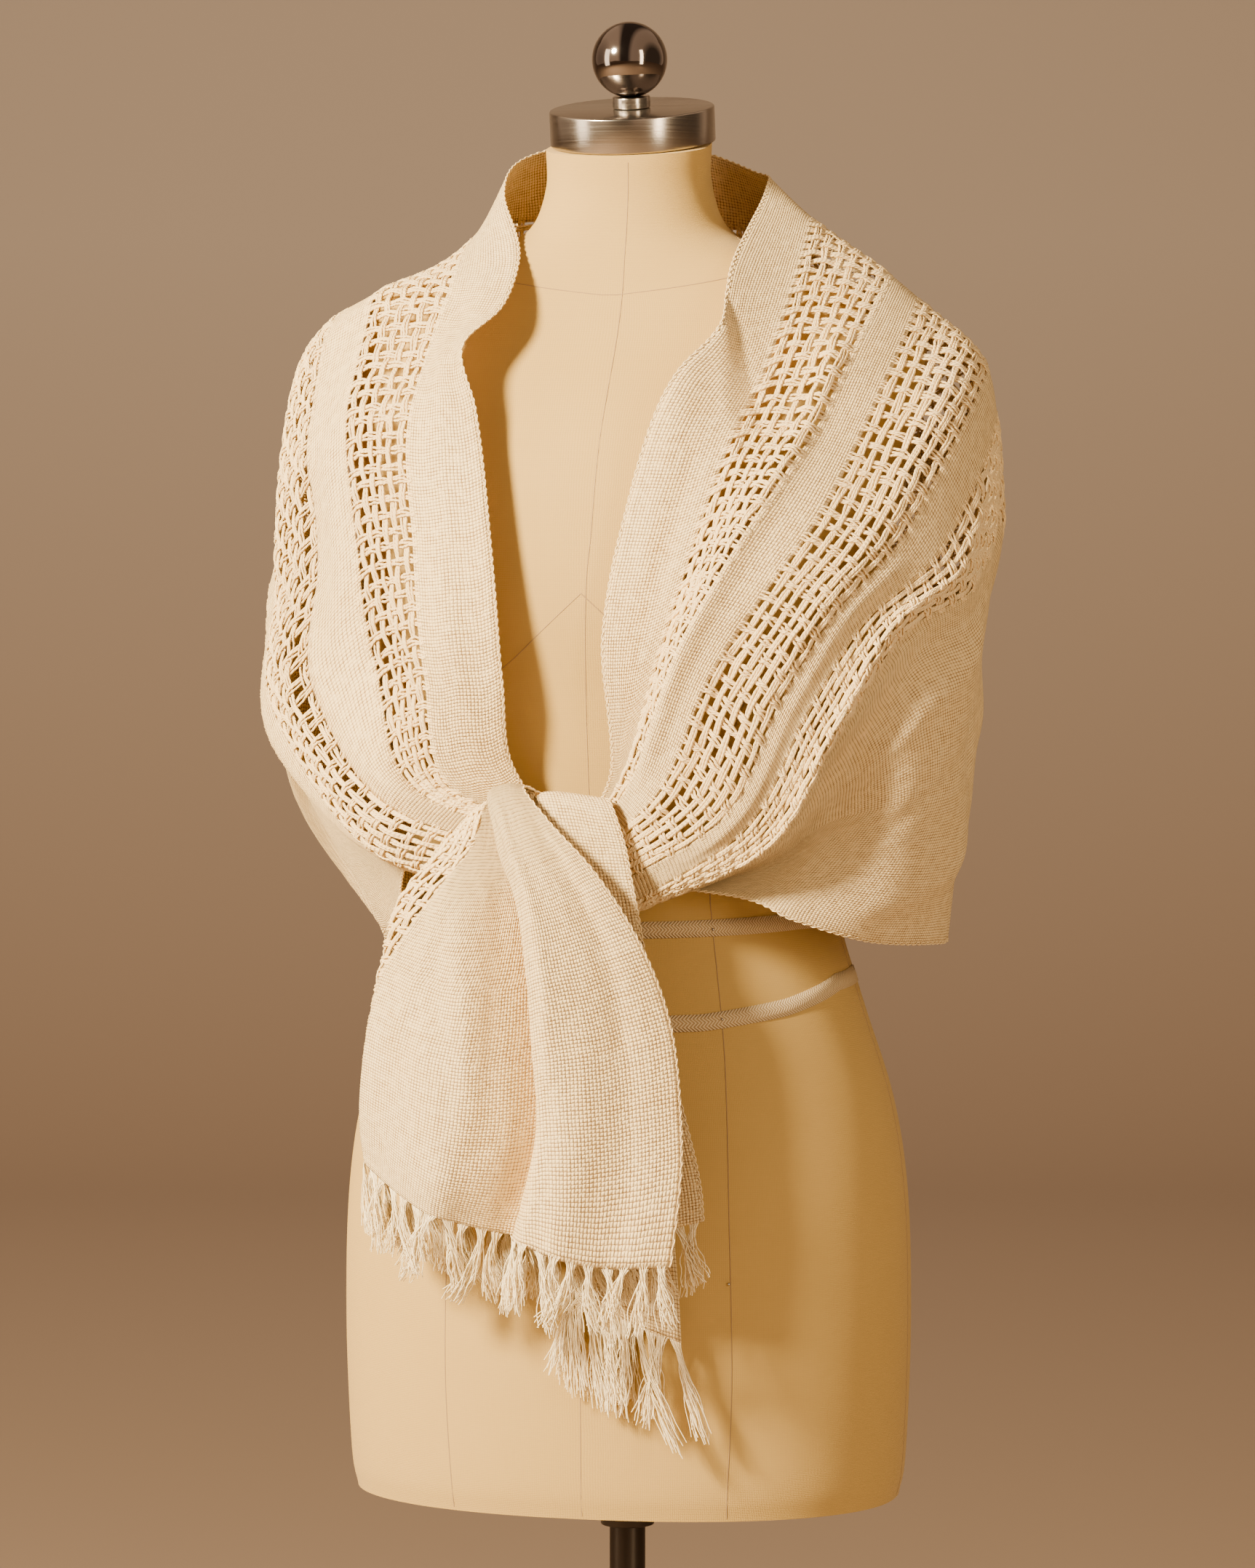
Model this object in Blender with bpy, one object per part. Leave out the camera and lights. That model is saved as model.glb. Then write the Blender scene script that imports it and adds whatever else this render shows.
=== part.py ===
# A handwoven cotton lace shawl worn on a limbless dress form that stands on a pole.
# Metres, +Z up, the form's front faces -Y and its own left side is +X.
# Tables hold millimetres and are scaled once, where they are read.

import bpy
import math
import numpy as np

MM = 0.001

# Dress form: a row for each ring, from the hips up to the neck.
# Columns: height, half width, depth in front of the axis, depth behind it.
FORM_RINGS = (
    (416, 168, 112, 116),
    (440, 172, 116, 120),
    (520, 175, 119, 125),
    (600, 173, 117, 123),
    (660, 164, 110, 112),
    (720, 145, 101, 98),
    (775, 130, 94, 88),
    (830, 134, 98, 90),
    (900, 146, 112, 97),
    (960, 157, 122, 103),
    (1010, 165, 119, 106),
    (1055, 174, 106, 105),
    (1090, 182, 84, 98),
    (1112, 184, 68, 90),
    (1128, 180, 58, 84),
    (1140, 170, 52, 80),
    (1150, 154, 48, 77),
    (1162, 124, 45, 74),
    (1175, 86, 42, 70),
    (1190, 60, 38, 67),
    (1216, 50, 34, 65),
    (1241, 50, 34, 65),
)
FORM_SQUARENESS = 2.2
FORM_SIDES = 36
FORM_RING_STEPS = 1
NECK_TILT = math.radians(11.0)
NECK_TILT_START = 1172
NECK_CENTRE_Y = 15.5

# Turned metal parts of the stand: rows of radius and height along the axis.
CAP_RADIUS = 50.5
CAP_HEIGHT = 21.6
CAP_EDGE = 1.6
CAP_SIDES = 40
METAL_SIDES = 32
FINIAL_RADIUS = 11.5
FINIAL_HEIGHT = 7.0
FINIAL_EDGE = 1.0
FINIAL_SIDES = 24
BALL_RADIUS = 23.0
BALL_RINGS = 9
BALL_FOOT_RADIUS = 7.0
BALL_TOP_ANGLE = math.radians(84.0)
POLE_RADIUS = 11.0
POLE_COLLAR_RADIUS = 16.5
POLE_COLLAR_HEIGHT = 23.0
POLE_COLLAR_EDGE = 1.0
KNOB_RADIUS = 5.0
KNOB_STEM_RADIUS = 3.0
KNOB_STEM_LENGTH = 3.0
KNOB_SHOULDER = 0.5
KNOB_LENGTH = 11.0
KNOB_TURN_SIDES = 16
BASE_RADIUS = 160.0
BASE_HEIGHT = 14.0
BASE_WALL_HEIGHT = 7.0
BASE_SHOULDER_RADIUS = 156.0
BASE_SHOULDER_HEIGHT = 11.2
BASE_TOP_RADIUS = 148.0
BASE_SIDES = 48
JOINT_GAP = 0.3

# Cloth.
CLOTH_WALL = 1.6
CLOTH_CLEARANCE = 1.0
SEAM_GAP = 0.8
PUSH_ROUNDS = 14
PUSH_LIMIT = 6.0

# Stripes across the shawl, from the neck selvedge to the hem selvedge.
STRIPE_LINES = (0, 50, 110, 145, 210, 245, 305, 430, 555)

# The wrap: a row for each section across the cloth, from the right end of the knot,
# round the back of the neck, to the left end of the knot.
# Columns: length along the cloth, then a point for each stripe line.
WRAP_SECTIONS = (
    (0, (-24, -111, 836), (-30, -117, 833), (-35, -123, 826), (-40, -127, 818), (-52, -126, 795),
     (-46, -115, 789), (-38, -110, 796), (-27, -112, 804), (-22.6, -114, 812)),
    (45, (-42, -122, 868), (-80, -126, 855), (-100, -127, 853), (-116, -129, 842), (-128, -114, 812),
     (-121, -97, 807), (-113, -90, 811), (-110, -84, 814), (-106, -80, 814)),
    (105, (-44, -138, 918), (-93, -132, 920), (-130, -108, 926), (-176, -80, 903), (-212, -37, 886),
     (-214, -12, 864), (-203, 4, 842), (-180, 8, 806), (-143, -10, 766)),
    (190, (-51, -138, 1000), (-102, -124, 998), (-143, -103, 1000), (-177, -70, 985), (-218, -20, 968),
     (-226, 2, 942), (-222, 14, 896), (-203, 30, 825), (-164, 44, 754)),
    (270, (-66, -116, 1080), (-109, -106, 1076), (-154, -81, 1080), (-187, -52, 1062), (-216, -16, 1028),
     (-219, 0, 1000), (-222, 8, 945), (-222, 26, 845), (-173, 62, 752)),
    (303, (-77, -102, 1117), (-105, -86, 1108), (-153, -60, 1109), (-187, -40, 1087), (-215, -12, 1050),
     (-218, 2, 1020), (-221, 10, 964), (-222, 30, 858), (-174, 70, 750)),
    (330, (-59, -78, 1140), (-101, -72, 1132), (-152, -44, 1130), (-186, -32, 1106), (-214, -8, 1065),
     (-217, 3, 1034), (-220, 11, 979), (-222, 32, 868), (-174, 76, 749)),
    (356, (-56, -50, 1166), (-99, -56, 1150), (-152, -32, 1145), (-186, -24, 1120), (-213, -5, 1078),
     (-217, 5, 1046), (-219, 13, 990), (-222, 35, 876), (-174, 81, 748)),
    (410, (-80, 10, 1211), (-103, 4, 1178), (-148, 4, 1154), (-180, 8, 1140), (-210, 14, 1098),
     (-214, 18, 1068), (-216, 24, 1012), (-214, 48, 892), (-172, 98, 743)),
    (500, (-66, 66, 1240), (-88, 86, 1196), (-122, 94, 1150), (-142, 100, 1126), (-166, 112, 1068),
     (-172, 116, 1036), (-176, 120, 978), (-168, 124, 856), (-128, 130, 730)),
    (585, (0, 90, 1245), (0, 99, 1197), (0, 114, 1140), (0, 121, 1106), (0, 129, 1042),
     (0, 130, 1008), (0, 128, 948), (0, 128, 824), (0, 134, 710)),
    (670, (64, 63, 1226), (90, 80, 1185), (124, 86, 1142), (146, 92, 1119), (174, 104, 1068),
     (182, 108, 1038), (186, 112, 982), (174, 116, 862), (134, 126, 757)),
    (760, (80, 26, 1210), (111, 14, 1187), (158, 6, 1158), (179, 6, 1141), (220, 10, 1104),
     (226, 12, 1074), (226, 16, 1020), (204, 38, 898), (175, 88, 759)),
    (820, (76, -54, 1163), (109, -60, 1131), (149, -66, 1109), (171, -62, 1093), (216, -46, 1072),
     (226, -34, 1046), (229, -22, 996), (211, 4, 882), (191, 46, 754)),
    (858, (76, -88, 1128), (100, -86, 1092), (136, -94, 1068), (158, -90, 1054), (204, -70, 1042),
     (218, -56, 1020), (227, -38, 985), (212, -16, 872), (194, 20, 756)),
    (895, (56, -110, 1101), (90, -110, 1063), (122, -120, 1040), (148, -116, 1024), (190, -95, 1008),
     (208, -78, 994), (224, -54, 972), (214, -36, 862), (197, -6, 757)),
    (975, (30, -128, 1024), (71, -133, 1000), (92, -145, 987), (119, -142, 976), (152, -130, 957),
     (168, -117, 952), (188, -104, 944), (188, -84, 850), (163, -72, 763)),
    (1040, (16, -134, 945), (52, -136, 938), (64, -149, 936), (84, -148, 922), (122, -138, 906),
     (138, -130, 900), (152, -122, 884), (142, -88, 836), (124, -100, 777)),
    (1105, (18, -120, 868), (27, -122, 866), (35, -136, 864), (53, -142, 856), (88, -140, 838),
     (99, -134, 830), (108, -126, 818), (96, -96, 806), (88, -104, 791)),
    (1160, (2, -107, 834), (5, -110, 832), (8, -117, 828), (14, -125, 820), (22, -127, 798),
     (26, -122, 784), (24, -115, 778), (12, -112, 788), (4.8, -114, 800)),
)
WRAP_SEAMS = (430, 740)
FOLD_FADE = 2.2
WRAP_LENGTH_STEP = 17.0
WRAP_ROWS_PER_STRIPE = (2, 3, 2, 3, 2, 3, 4, 4)

# Soft ridges and troughs: start and end as length and width, then half width and height.
WRAP_FOLDS = (
    ((830, 100), (1080, 118), 9, 5.0),
    ((800, 186), (1060, 196), 14, 3.0),
    ((860, 262), (1090, 300), 10, 3.5),
    ((900, 330), (1060, 360), 22, -6.0),
    ((760, 420), (940, 500), 26, 5.0),
    ((700, 360), (780, 540), 24, -5.0),
    ((640, 330), (690, 555), 26, 7.0),
    ((600, 380), (620, 555), 20, -5.0),
    ((540, 340), (560, 555), 24, 6.0),
    ((480, 360), (470, 555), 22, -5.0),
    ((420, 330), (400, 540), 26, 6.0),
    ((340, 420), (300, 545), 22, -4.0),
    ((130, 30), (330, 22), 12, 2.5),
    ((90, 122), (230, 128), 13, -4.5),
    ((100, 156), (240, 150), 12, 3.0),
)

# The front tail: a row for each level, from behind the top roll down to the fringed end.
# Columns: length along the cloth, then a point for each line across, hem selvedge first.
TAIL_LINES = (0, 50, 100, 125, 185, 250, 345, 455, 555)
TAIL_SECTIONS = (
    (0, (-22, -126, 851), (-30, -128, 854), (-39, -127, 851), (-42, -123, 848), (-48, -125, 845),
     (-51, -124, 842), (-36, -120, 843), (-4, -122, 848), (15, -128, 848)),
    (20, (-31, -137, 856), (-40, -142, 858), (-51, -141, 853), (-48, -134, 849), (-54, -137, 846),
     (-60, -133, 841), (-38, -127, 846), (-6, -131, 852), (20, -137, 849)),
    (55, (-12, -154, 837), (-27, -162, 832), (-41, -159, 824), (-36, -147, 820), (-60, -152, 818),
     (-79, -147, 820), (-55, -141, 816), (-3, -137, 826), (30, -143, 826)),
    (95, (16, -165, 810), (-7, -173, 800), (-28, -170, 792), (-19, -155, 788), (-66, -160, 784),
     (-104, -148, 789), (-66, -141, 775), (1, -138, 790), (37, -146, 796)),
    (145, (44, -163, 768), (12, -175, 757), (-20, -176, 748), (-9, -159, 744), (-68, -164, 736),
     (-116, -146, 747), (-76, -137, 720), (6, -141, 738), (45, -147, 756)),
    (195, (61, -157, 722), (23, -173, 711), (-16, -178, 704), (-5, -160, 700), (-69, -165, 692),
     (-125, -144, 707), (-80, -134, 684), (10, -138, 694), (57, -144, 704)),
    (245, (68, -158, 672), (28, -174, 664), (-13, -178, 660), (-6, -161, 655), (-71, -166, 650),
     (-129, -143, 671), (-80, -133, 652), (13, -138, 652), (69, -142, 656)),
    (290, (69, -163, 624), (26, -175, 616), (-19, -178, 615), (-24, -164, 611), (-74, -166, 616),
     (-129, -143, 645), (-80, -134, 624), (14, -139, 612), (77, -143, 622)),
    (318, (64, -166, 577), (20, -176, 577), (-24, -176, 589), (-31, -166, 590), (-79, -166, 603),
     (-127, -144, 630), (-78, -136, 607), (14, -140, 588), (79, -144, 602)),
)
TAIL_LENGTH_STEP = 20.0
TAIL_ROWS_PER_LINE = (3, 3, 2, 3, 4, 3, 4, 4)
TAIL_FOLDS = (
    ((90, 30), (318, 40), 12, 2.5),
    ((120, 205), (318, 170), 12, 3.5),
    ((110, 150), (300, 148), 10, -2.5),
)

# The rear tail, mostly hidden by the front one.
REAR_LINES = (0, 28, 56, 84, 107, 130)
REAR_SECTIONS = (
    (0, (20, -115, 774.3), (12, -118, 777.3), (0, -121, 779.3),
     (-14, -121, 779.8), (-20, -115, 777.3), (-6, -111.5, 775.3)),
    (70, (38, -118, 700), (22, -122, 699), (2, -121, 698),
     (-12, -118, 698), (2, -113, 698), (22, -113, 699)),
    (140, (52, -124, 632), (30, -129, 630), (8, -127, 632),
     (-8, -123, 636), (10, -118, 634), (32, -118, 632)),
    (200, (60, -127, 562), (36, -132, 566), (12, -130, 574),
     (-6, -126, 584), (14, -121.5, 578), (36, -121.3, 570)),
    (255, (64, -129, 498), (38, -133, 512), (12, -131, 527),
     (-7, -127, 538), (14, -122.2, 528), (38, -122, 514)),
)
REAR_LENGTH_STEP = 26.0
REAR_ROWS_PER_LINE = (3, 3, 3, 3, 3)

# The crossing inside the knot.
KNOT_CENTRE = (-9, -121, 806)
KNOT_RADII = (15.2, 15.3, 26.0)
KNOT_RINGS = 8
KNOT_SIDES = 16
KNOT_END_ANGLE = math.radians(80.0)

# Fringe: locks hang from a narrow strip below the cloth's end.
FRINGE_GAP = 0.6
FRINGE_STRIP = 5.0
LOCK_PITCH = 10.8
LOCK_FILL = 0.52
LOCK_LENGTH = 42.0
LOCK_LENGTH_SPREAD = 0.16
LOCK_SEGMENTS = 2
LOCK_SWAY = 2.4
LOCK_TIP = 0.55
REAR_LOCK_LENGTH = 44.0

MATERIALS = {
    "cotton": ((0.87, 0.78, 0.62, 1.0), 0.0, 0.85),
    "linen": ((0.66, 0.50, 0.29, 1.0), 0.0, 0.8),
    "brushed steel": ((0.62, 0.60, 0.58, 1.0), 1.0, 0.3),
    "dark chrome": ((0.25, 0.23, 0.22, 1.0), 1.0, 0.12),
    "dark metal": ((0.06, 0.05, 0.045, 1.0), 0.6, 0.4),
}


def make_material(name):
    colour, metallic, roughness = MATERIALS[name]
    material = bpy.data.materials.new(name)
    material.use_nodes = True
    shader = material.node_tree.nodes["Principled BSDF"]
    shader.inputs["Base Color"].default_value = colour
    shader.inputs["Metallic"].default_value = metallic
    shader.inputs["Roughness"].default_value = roughness
    material.diffuse_color = colour
    return material


def add_object(name, vertices, faces, material, sharp_angle=35.0):
    """Make a mesh object from points in millimetres."""
    mesh = bpy.data.meshes.new(name)
    points = np.asarray(vertices, float) * MM
    mesh.from_pydata([tuple(point) for point in points], [], [tuple(face) for face in faces])
    mesh.validate()
    mesh.update()
    mesh.materials.append(material)
    mesh.shade_smooth()
    mesh.set_sharp_from_angle(angle=math.radians(sharp_angle))
    item = bpy.data.objects.new(name, mesh)
    bpy.context.scene.collection.objects.link(item)
    return item


def smooth_through(knots, values, at):
    """Follow rows of values smoothly; the first axis of values belongs to the knots."""
    knots = np.asarray(knots, float)
    values = np.asarray(values, float)
    at = np.clip(np.asarray(at, float), knots[0], knots[-1])
    steps = np.diff(knots)
    slopes = np.diff(values, axis=0) / steps.reshape(-1, *([1] * (values.ndim - 1)))
    tangents = np.empty_like(values)
    tangents[0] = slopes[0]
    tangents[-1] = slopes[-1]
    before = steps[:-1].reshape(-1, *([1] * (values.ndim - 1)))
    after = steps[1:].reshape(-1, *([1] * (values.ndim - 1)))
    tangents[1:-1] = (slopes[:-1] * after + slopes[1:] * before) / (before + after)
    span = np.clip(np.searchsorted(knots, at, side="right") - 1, 0, len(steps) - 1)
    width = steps[span].reshape(-1, *([1] * (values.ndim - 1)))
    t = ((at - knots[span]) / steps[span]).reshape(-1, *([1] * (values.ndim - 1)))
    start = (2 * t**3 - 3 * t**2 + 1) * values[span]
    end = (-2 * t**3 + 3 * t**2) * values[span + 1]
    leave = (t**3 - 2 * t**2 + t) * width * tangents[span]
    arrive = (t**3 - t**2) * width * tangents[span + 1]
    return start + end + leave + arrive


def form_rings():
    """The form's rings, with steps between the rows of the table."""
    table = np.array(FORM_RINGS, float)
    count = (len(table) - 1) * FORM_RING_STEPS + 1
    rows = smooth_through(np.arange(len(table)), table, np.linspace(0, len(table) - 1, count))
    return rows


def form_excess(points, rings):
    """How far outside the form each point lies, as a fraction of the ring's size."""
    height = np.clip(points[:, 2], rings[0, 0], rings[-1, 0])
    half = np.interp(height, rings[:, 0], rings[:, 1])
    front = np.interp(height, rings[:, 0], rings[:, 2])
    back = np.interp(height, rings[:, 0], rings[:, 3])
    depth = np.where(points[:, 1] < 0, front, back)
    across = np.abs(points[:, 0] / half) ** FORM_SQUARENESS
    along = np.abs(points[:, 1] / depth) ** FORM_SQUARENESS
    return (across + along) ** (1 / FORM_SQUARENESS) - 1


def rest_on_form(points, rings, clearance):
    """Move points that lie too near the form out along its surface direction."""
    shape = points.shape
    points = points.reshape(-1, 3).copy()
    for _ in range(PUSH_ROUNDS):
        excess = form_excess(points, rings)
        gradient = np.empty_like(points)
        for axis in range(3):
            step = np.zeros(3)
            step[axis] = 0.5
            gradient[:, axis] = form_excess(points + step, rings) - form_excess(points - step, rings)
        size = np.linalg.norm(gradient, axis=1)
        size[size < 1e-9] = 1e-9
        distance = excess / size
        short = np.clip(clearance - distance, 0, PUSH_LIMIT)
        points += gradient / size[:, None] * short[:, None]
    return points.reshape(shape)


def loft_faces(rings, sides, first=0):
    """Quads between rings of equal count, wound outwards for rings that go up."""
    faces = []
    for ring in range(rings - 1):
        low = first + ring * sides
        high = low + sides
        for side in range(sides):
            after = (side + 1) % sides
            faces.append((low + side, low + after, high + after, high + side))
    return faces


def build_form(material):
    rings = form_rings()
    vertices = []
    for height, half, front, back in rings:
        tilt = max(0.0, min(1.0, (height - NECK_TILT_START) / (rings[-1][0] - NECK_TILT_START)))
        for side in range(FORM_SIDES):
            angle = 2 * math.pi * side / FORM_SIDES
            cosine = math.cos(angle)
            sine = math.sin(angle)
            x = half * math.copysign(abs(cosine) ** (2 / FORM_SQUARENESS), cosine)
            depth = front if sine < 0 else back
            y = depth * math.copysign(abs(sine) ** (2 / FORM_SQUARENESS), sine)
            lift = (y - NECK_CENTRE_Y) * math.tan(NECK_TILT) * tilt
            vertices.append((x, y, height + lift))
    faces = loft_faces(len(rings), FORM_SIDES)
    faces.append(tuple(range(FORM_SIDES - 1, -1, -1)))
    top = (len(rings) - 1) * FORM_SIDES
    faces.append(tuple(range(top, top + FORM_SIDES)))
    return add_object("form_body", vertices, faces, material)


def turned(name, profile, material, centre=(0.0, 0.0, 0.0), tilt=0.0, sides=METAL_SIDES):
    """A solid of revolution from rows of radius and height, tilted forwards about its centre."""
    vertices = []
    for radius, height in profile:
        for side in range(sides):
            angle = 2 * math.pi * side / sides
            x = radius * math.cos(angle)
            y = radius * math.sin(angle)
            turned_y = y * math.cos(tilt) - height * math.sin(tilt)
            turned_z = y * math.sin(tilt) + height * math.cos(tilt)
            vertices.append((centre[0] + x, centre[1] + turned_y, centre[2] + turned_z))
    faces = loft_faces(len(profile), sides)
    faces.append(tuple(range(sides - 1, -1, -1)))
    top = (len(profile) - 1) * sides
    faces.append(tuple(range(top, top + sides)))
    return add_object(name, vertices, faces, material)


def build_stand(steel, chrome, dark):
    neck_top = (0.0, NECK_CENTRE_Y, FORM_RINGS[-1][0])
    cap_low = JOINT_GAP
    cap_high = JOINT_GAP + CAP_HEIGHT
    cap = (
        (CAP_RADIUS - CAP_EDGE, cap_low),
        (CAP_RADIUS, cap_low + CAP_EDGE),
        (CAP_RADIUS, cap_high - CAP_EDGE),
        (CAP_RADIUS - CAP_EDGE, cap_high),
    )
    turned("neck_cap", cap, steel, neck_top, NECK_TILT, sides=CAP_SIDES)
    finial_low = cap_high + JOINT_GAP
    finial_high = finial_low + FINIAL_HEIGHT
    finial = (
        (FINIAL_RADIUS, finial_low),
        (FINIAL_RADIUS, finial_high - FINIAL_EDGE),
        (FINIAL_RADIUS - FINIAL_EDGE, finial_high),
    )
    turned("finial_collar", finial, steel, neck_top, NECK_TILT, sides=FINIAL_SIDES)
    ball_low = finial_high + JOINT_GAP
    foot_height = math.sqrt(BALL_RADIUS**2 - BALL_FOOT_RADIUS**2)
    foot_angle = -math.atan2(foot_height, BALL_FOOT_RADIUS)
    ball_centre = ball_low + foot_height
    ball = []
    for ring in range(BALL_RINGS + 1):
        angle = foot_angle + (BALL_TOP_ANGLE - foot_angle) * ring / BALL_RINGS
        ball.append((BALL_RADIUS * math.cos(angle), ball_centre + BALL_RADIUS * math.sin(angle)))
    turned("finial_ball", ball, chrome, neck_top, NECK_TILT, sides=FINIAL_SIDES)
    form_low = FORM_RINGS[0][0]
    collar_low = form_low - JOINT_GAP - POLE_COLLAR_HEIGHT
    collar = (
        (POLE_COLLAR_RADIUS - POLE_COLLAR_EDGE, collar_low),
        (POLE_COLLAR_RADIUS, collar_low + POLE_COLLAR_EDGE),
        (POLE_COLLAR_RADIUS, form_low - JOINT_GAP),
    )
    turned("pole_collar", collar, dark)
    knob_start = POLE_COLLAR_RADIUS + JOINT_GAP
    knob_height = collar_low + POLE_COLLAR_HEIGHT / 2
    knob_vertices = []
    knob_profile = (
        (KNOB_STEM_RADIUS, knob_start),
        (KNOB_STEM_RADIUS, knob_start + KNOB_STEM_LENGTH),
        (KNOB_RADIUS, knob_start + KNOB_STEM_LENGTH + KNOB_SHOULDER),
        (KNOB_RADIUS, knob_start + KNOB_LENGTH),
    )
    for radius, reach in knob_profile:
        for side in range(KNOB_TURN_SIDES):
            angle = 2 * math.pi * side / KNOB_TURN_SIDES
            knob_vertices.append((reach, radius * math.cos(angle), knob_height + radius * math.sin(angle)))
    knob_faces = loft_faces(len(knob_profile), KNOB_TURN_SIDES)
    knob_faces.append(tuple(range(KNOB_TURN_SIDES - 1, -1, -1)))
    knob_top = (len(knob_profile) - 1) * KNOB_TURN_SIDES
    knob_faces.append(tuple(range(knob_top, knob_top + KNOB_TURN_SIDES)))
    add_object("clamp_knob", knob_vertices, knob_faces, dark)
    pole = (
        (POLE_RADIUS, BASE_HEIGHT + JOINT_GAP),
        (POLE_RADIUS, collar_low - JOINT_GAP),
    )
    turned("pole", pole, dark)
    base = (
        (BASE_RADIUS, 0.0),
        (BASE_RADIUS, BASE_WALL_HEIGHT),
        (BASE_SHOULDER_RADIUS, BASE_SHOULDER_HEIGHT),
        (BASE_TOP_RADIUS, BASE_HEIGHT),
    )
    turned("base_plate", base, dark, sides=BASE_SIDES)


def split_rows(lines, counts):
    """Positions across the cloth, with a count of rows for each stripe."""
    positions = [lines[0]]
    for start, end, count in zip(lines[:-1], lines[1:], counts):
        for row in range(1, count + 1):
            positions.append(start + (end - start) * row / count)
    return np.array(positions, float)


def cloth_surface(sections, lines, lengths, widths):
    """Points of the cloth's middle for each length and width."""
    knots = [row[0] for row in sections]
    table = np.array([row[1:] for row in sections], float)
    along = smooth_through(knots, table, lengths)
    across = smooth_through(lines, np.swapaxes(along, 0, 1), widths)
    return np.swapaxes(across, 0, 1)


def grid_normals(points):
    along = np.gradient(points, axis=0)
    across = np.gradient(points, axis=1)
    normal = np.cross(along, across)
    size = np.linalg.norm(normal, axis=2, keepdims=True)
    size[size < 1e-9] = 1e-9
    return normal / size


def add_folds(points, lengths, widths, folds):
    """Raise soft ridges and lower soft troughs along straight paths on the flat cloth."""
    height = np.zeros(points.shape[:2])
    long_grid, wide_grid = np.meshgrid(lengths, widths, indexing="ij")
    for start, end, half_width, rise in folds:
        path = np.array(end, float) - np.array(start, float)
        reach = np.linalg.norm(path)
        path /= reach
        from_start = np.stack((long_grid - start[0], wide_grid - start[1]), axis=2)
        along = from_start @ path
        aside = from_start @ np.array((-path[1], path[0]))
        past = np.clip(along, 0, reach) - along
        fade = np.exp(-(past / (FOLD_FADE * half_width)) ** 2)
        height += rise * fade * np.exp(-(aside / half_width) ** 2)
    return points + grid_normals(points) * height[:, :, None]


def shell(name, points, normals, wall, material):
    """Close a grid of points into a wall of even thickness."""
    rows, columns = points.shape[:2]
    outer = (points + normals * wall / 2).reshape(-1, 3)
    inner = (points - normals * wall / 2).reshape(-1, 3)
    vertices = np.concatenate((outer, inner))
    behind = rows * columns
    faces = []
    for row in range(rows - 1):
        for column in range(columns - 1):
            a = row * columns + column
            b = a + columns
            faces.append((a, b, b + 1, a + 1))
            faces.append((behind + a, behind + a + 1, behind + b + 1, behind + b))
    for row in range(rows - 1):
        a = row * columns
        b = a + columns
        faces.append((a, behind + a, behind + b, b))
        c = a + columns - 1
        d = b + columns - 1
        faces.append((c, d, behind + d, behind + c))
    for column in range(columns - 1):
        a = column
        faces.append((a, a + 1, behind + a + 1, behind + a))
        b = (rows - 1) * columns + column
        faces.append((b, behind + b, behind + b + 1, b + 1))
    return add_object(name, vertices, faces, material, sharp_angle=60.0)


def length_steps(start, end, step):
    count = max(2, int(round((end - start) / step)))
    return np.linspace(start, end, count + 1)


def build_wrap(material, rings):
    widths = split_rows(STRIPE_LINES, WRAP_ROWS_PER_STRIPE)
    clearance = CLOTH_WALL / 2 + CLOTH_CLEARANCE
    starts = (WRAP_SECTIONS[0][0], WRAP_SEAMS[0] + SEAM_GAP, WRAP_SEAMS[1] + SEAM_GAP)
    ends = (WRAP_SEAMS[0], WRAP_SEAMS[1], WRAP_SECTIONS[-1][0])
    names = ("shawl_right_front", "shawl_back", "shawl_left_front")
    parts = [length_steps(start, end, WRAP_LENGTH_STEP) for start, end in zip(starts, ends)]
    lengths = np.concatenate(parts)
    points = cloth_surface(WRAP_SECTIONS, STRIPE_LINES, lengths, widths)
    points = add_folds(points, lengths, widths, WRAP_FOLDS)
    points = rest_on_form(points, rings, clearance)
    normals = grid_normals(points)
    for last in np.cumsum([len(part) for part in parts])[:-1]:
        shared = normals[last - 1] + normals[last]
        normals[last - 1:last + 1] = shared / np.linalg.norm(shared, axis=1, keepdims=True)
    first = 0
    for name, part in zip(names, parts):
        last = first + len(part)
        shell(name, points[first:last], normals[first:last], CLOTH_WALL, material)
        first = last


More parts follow.
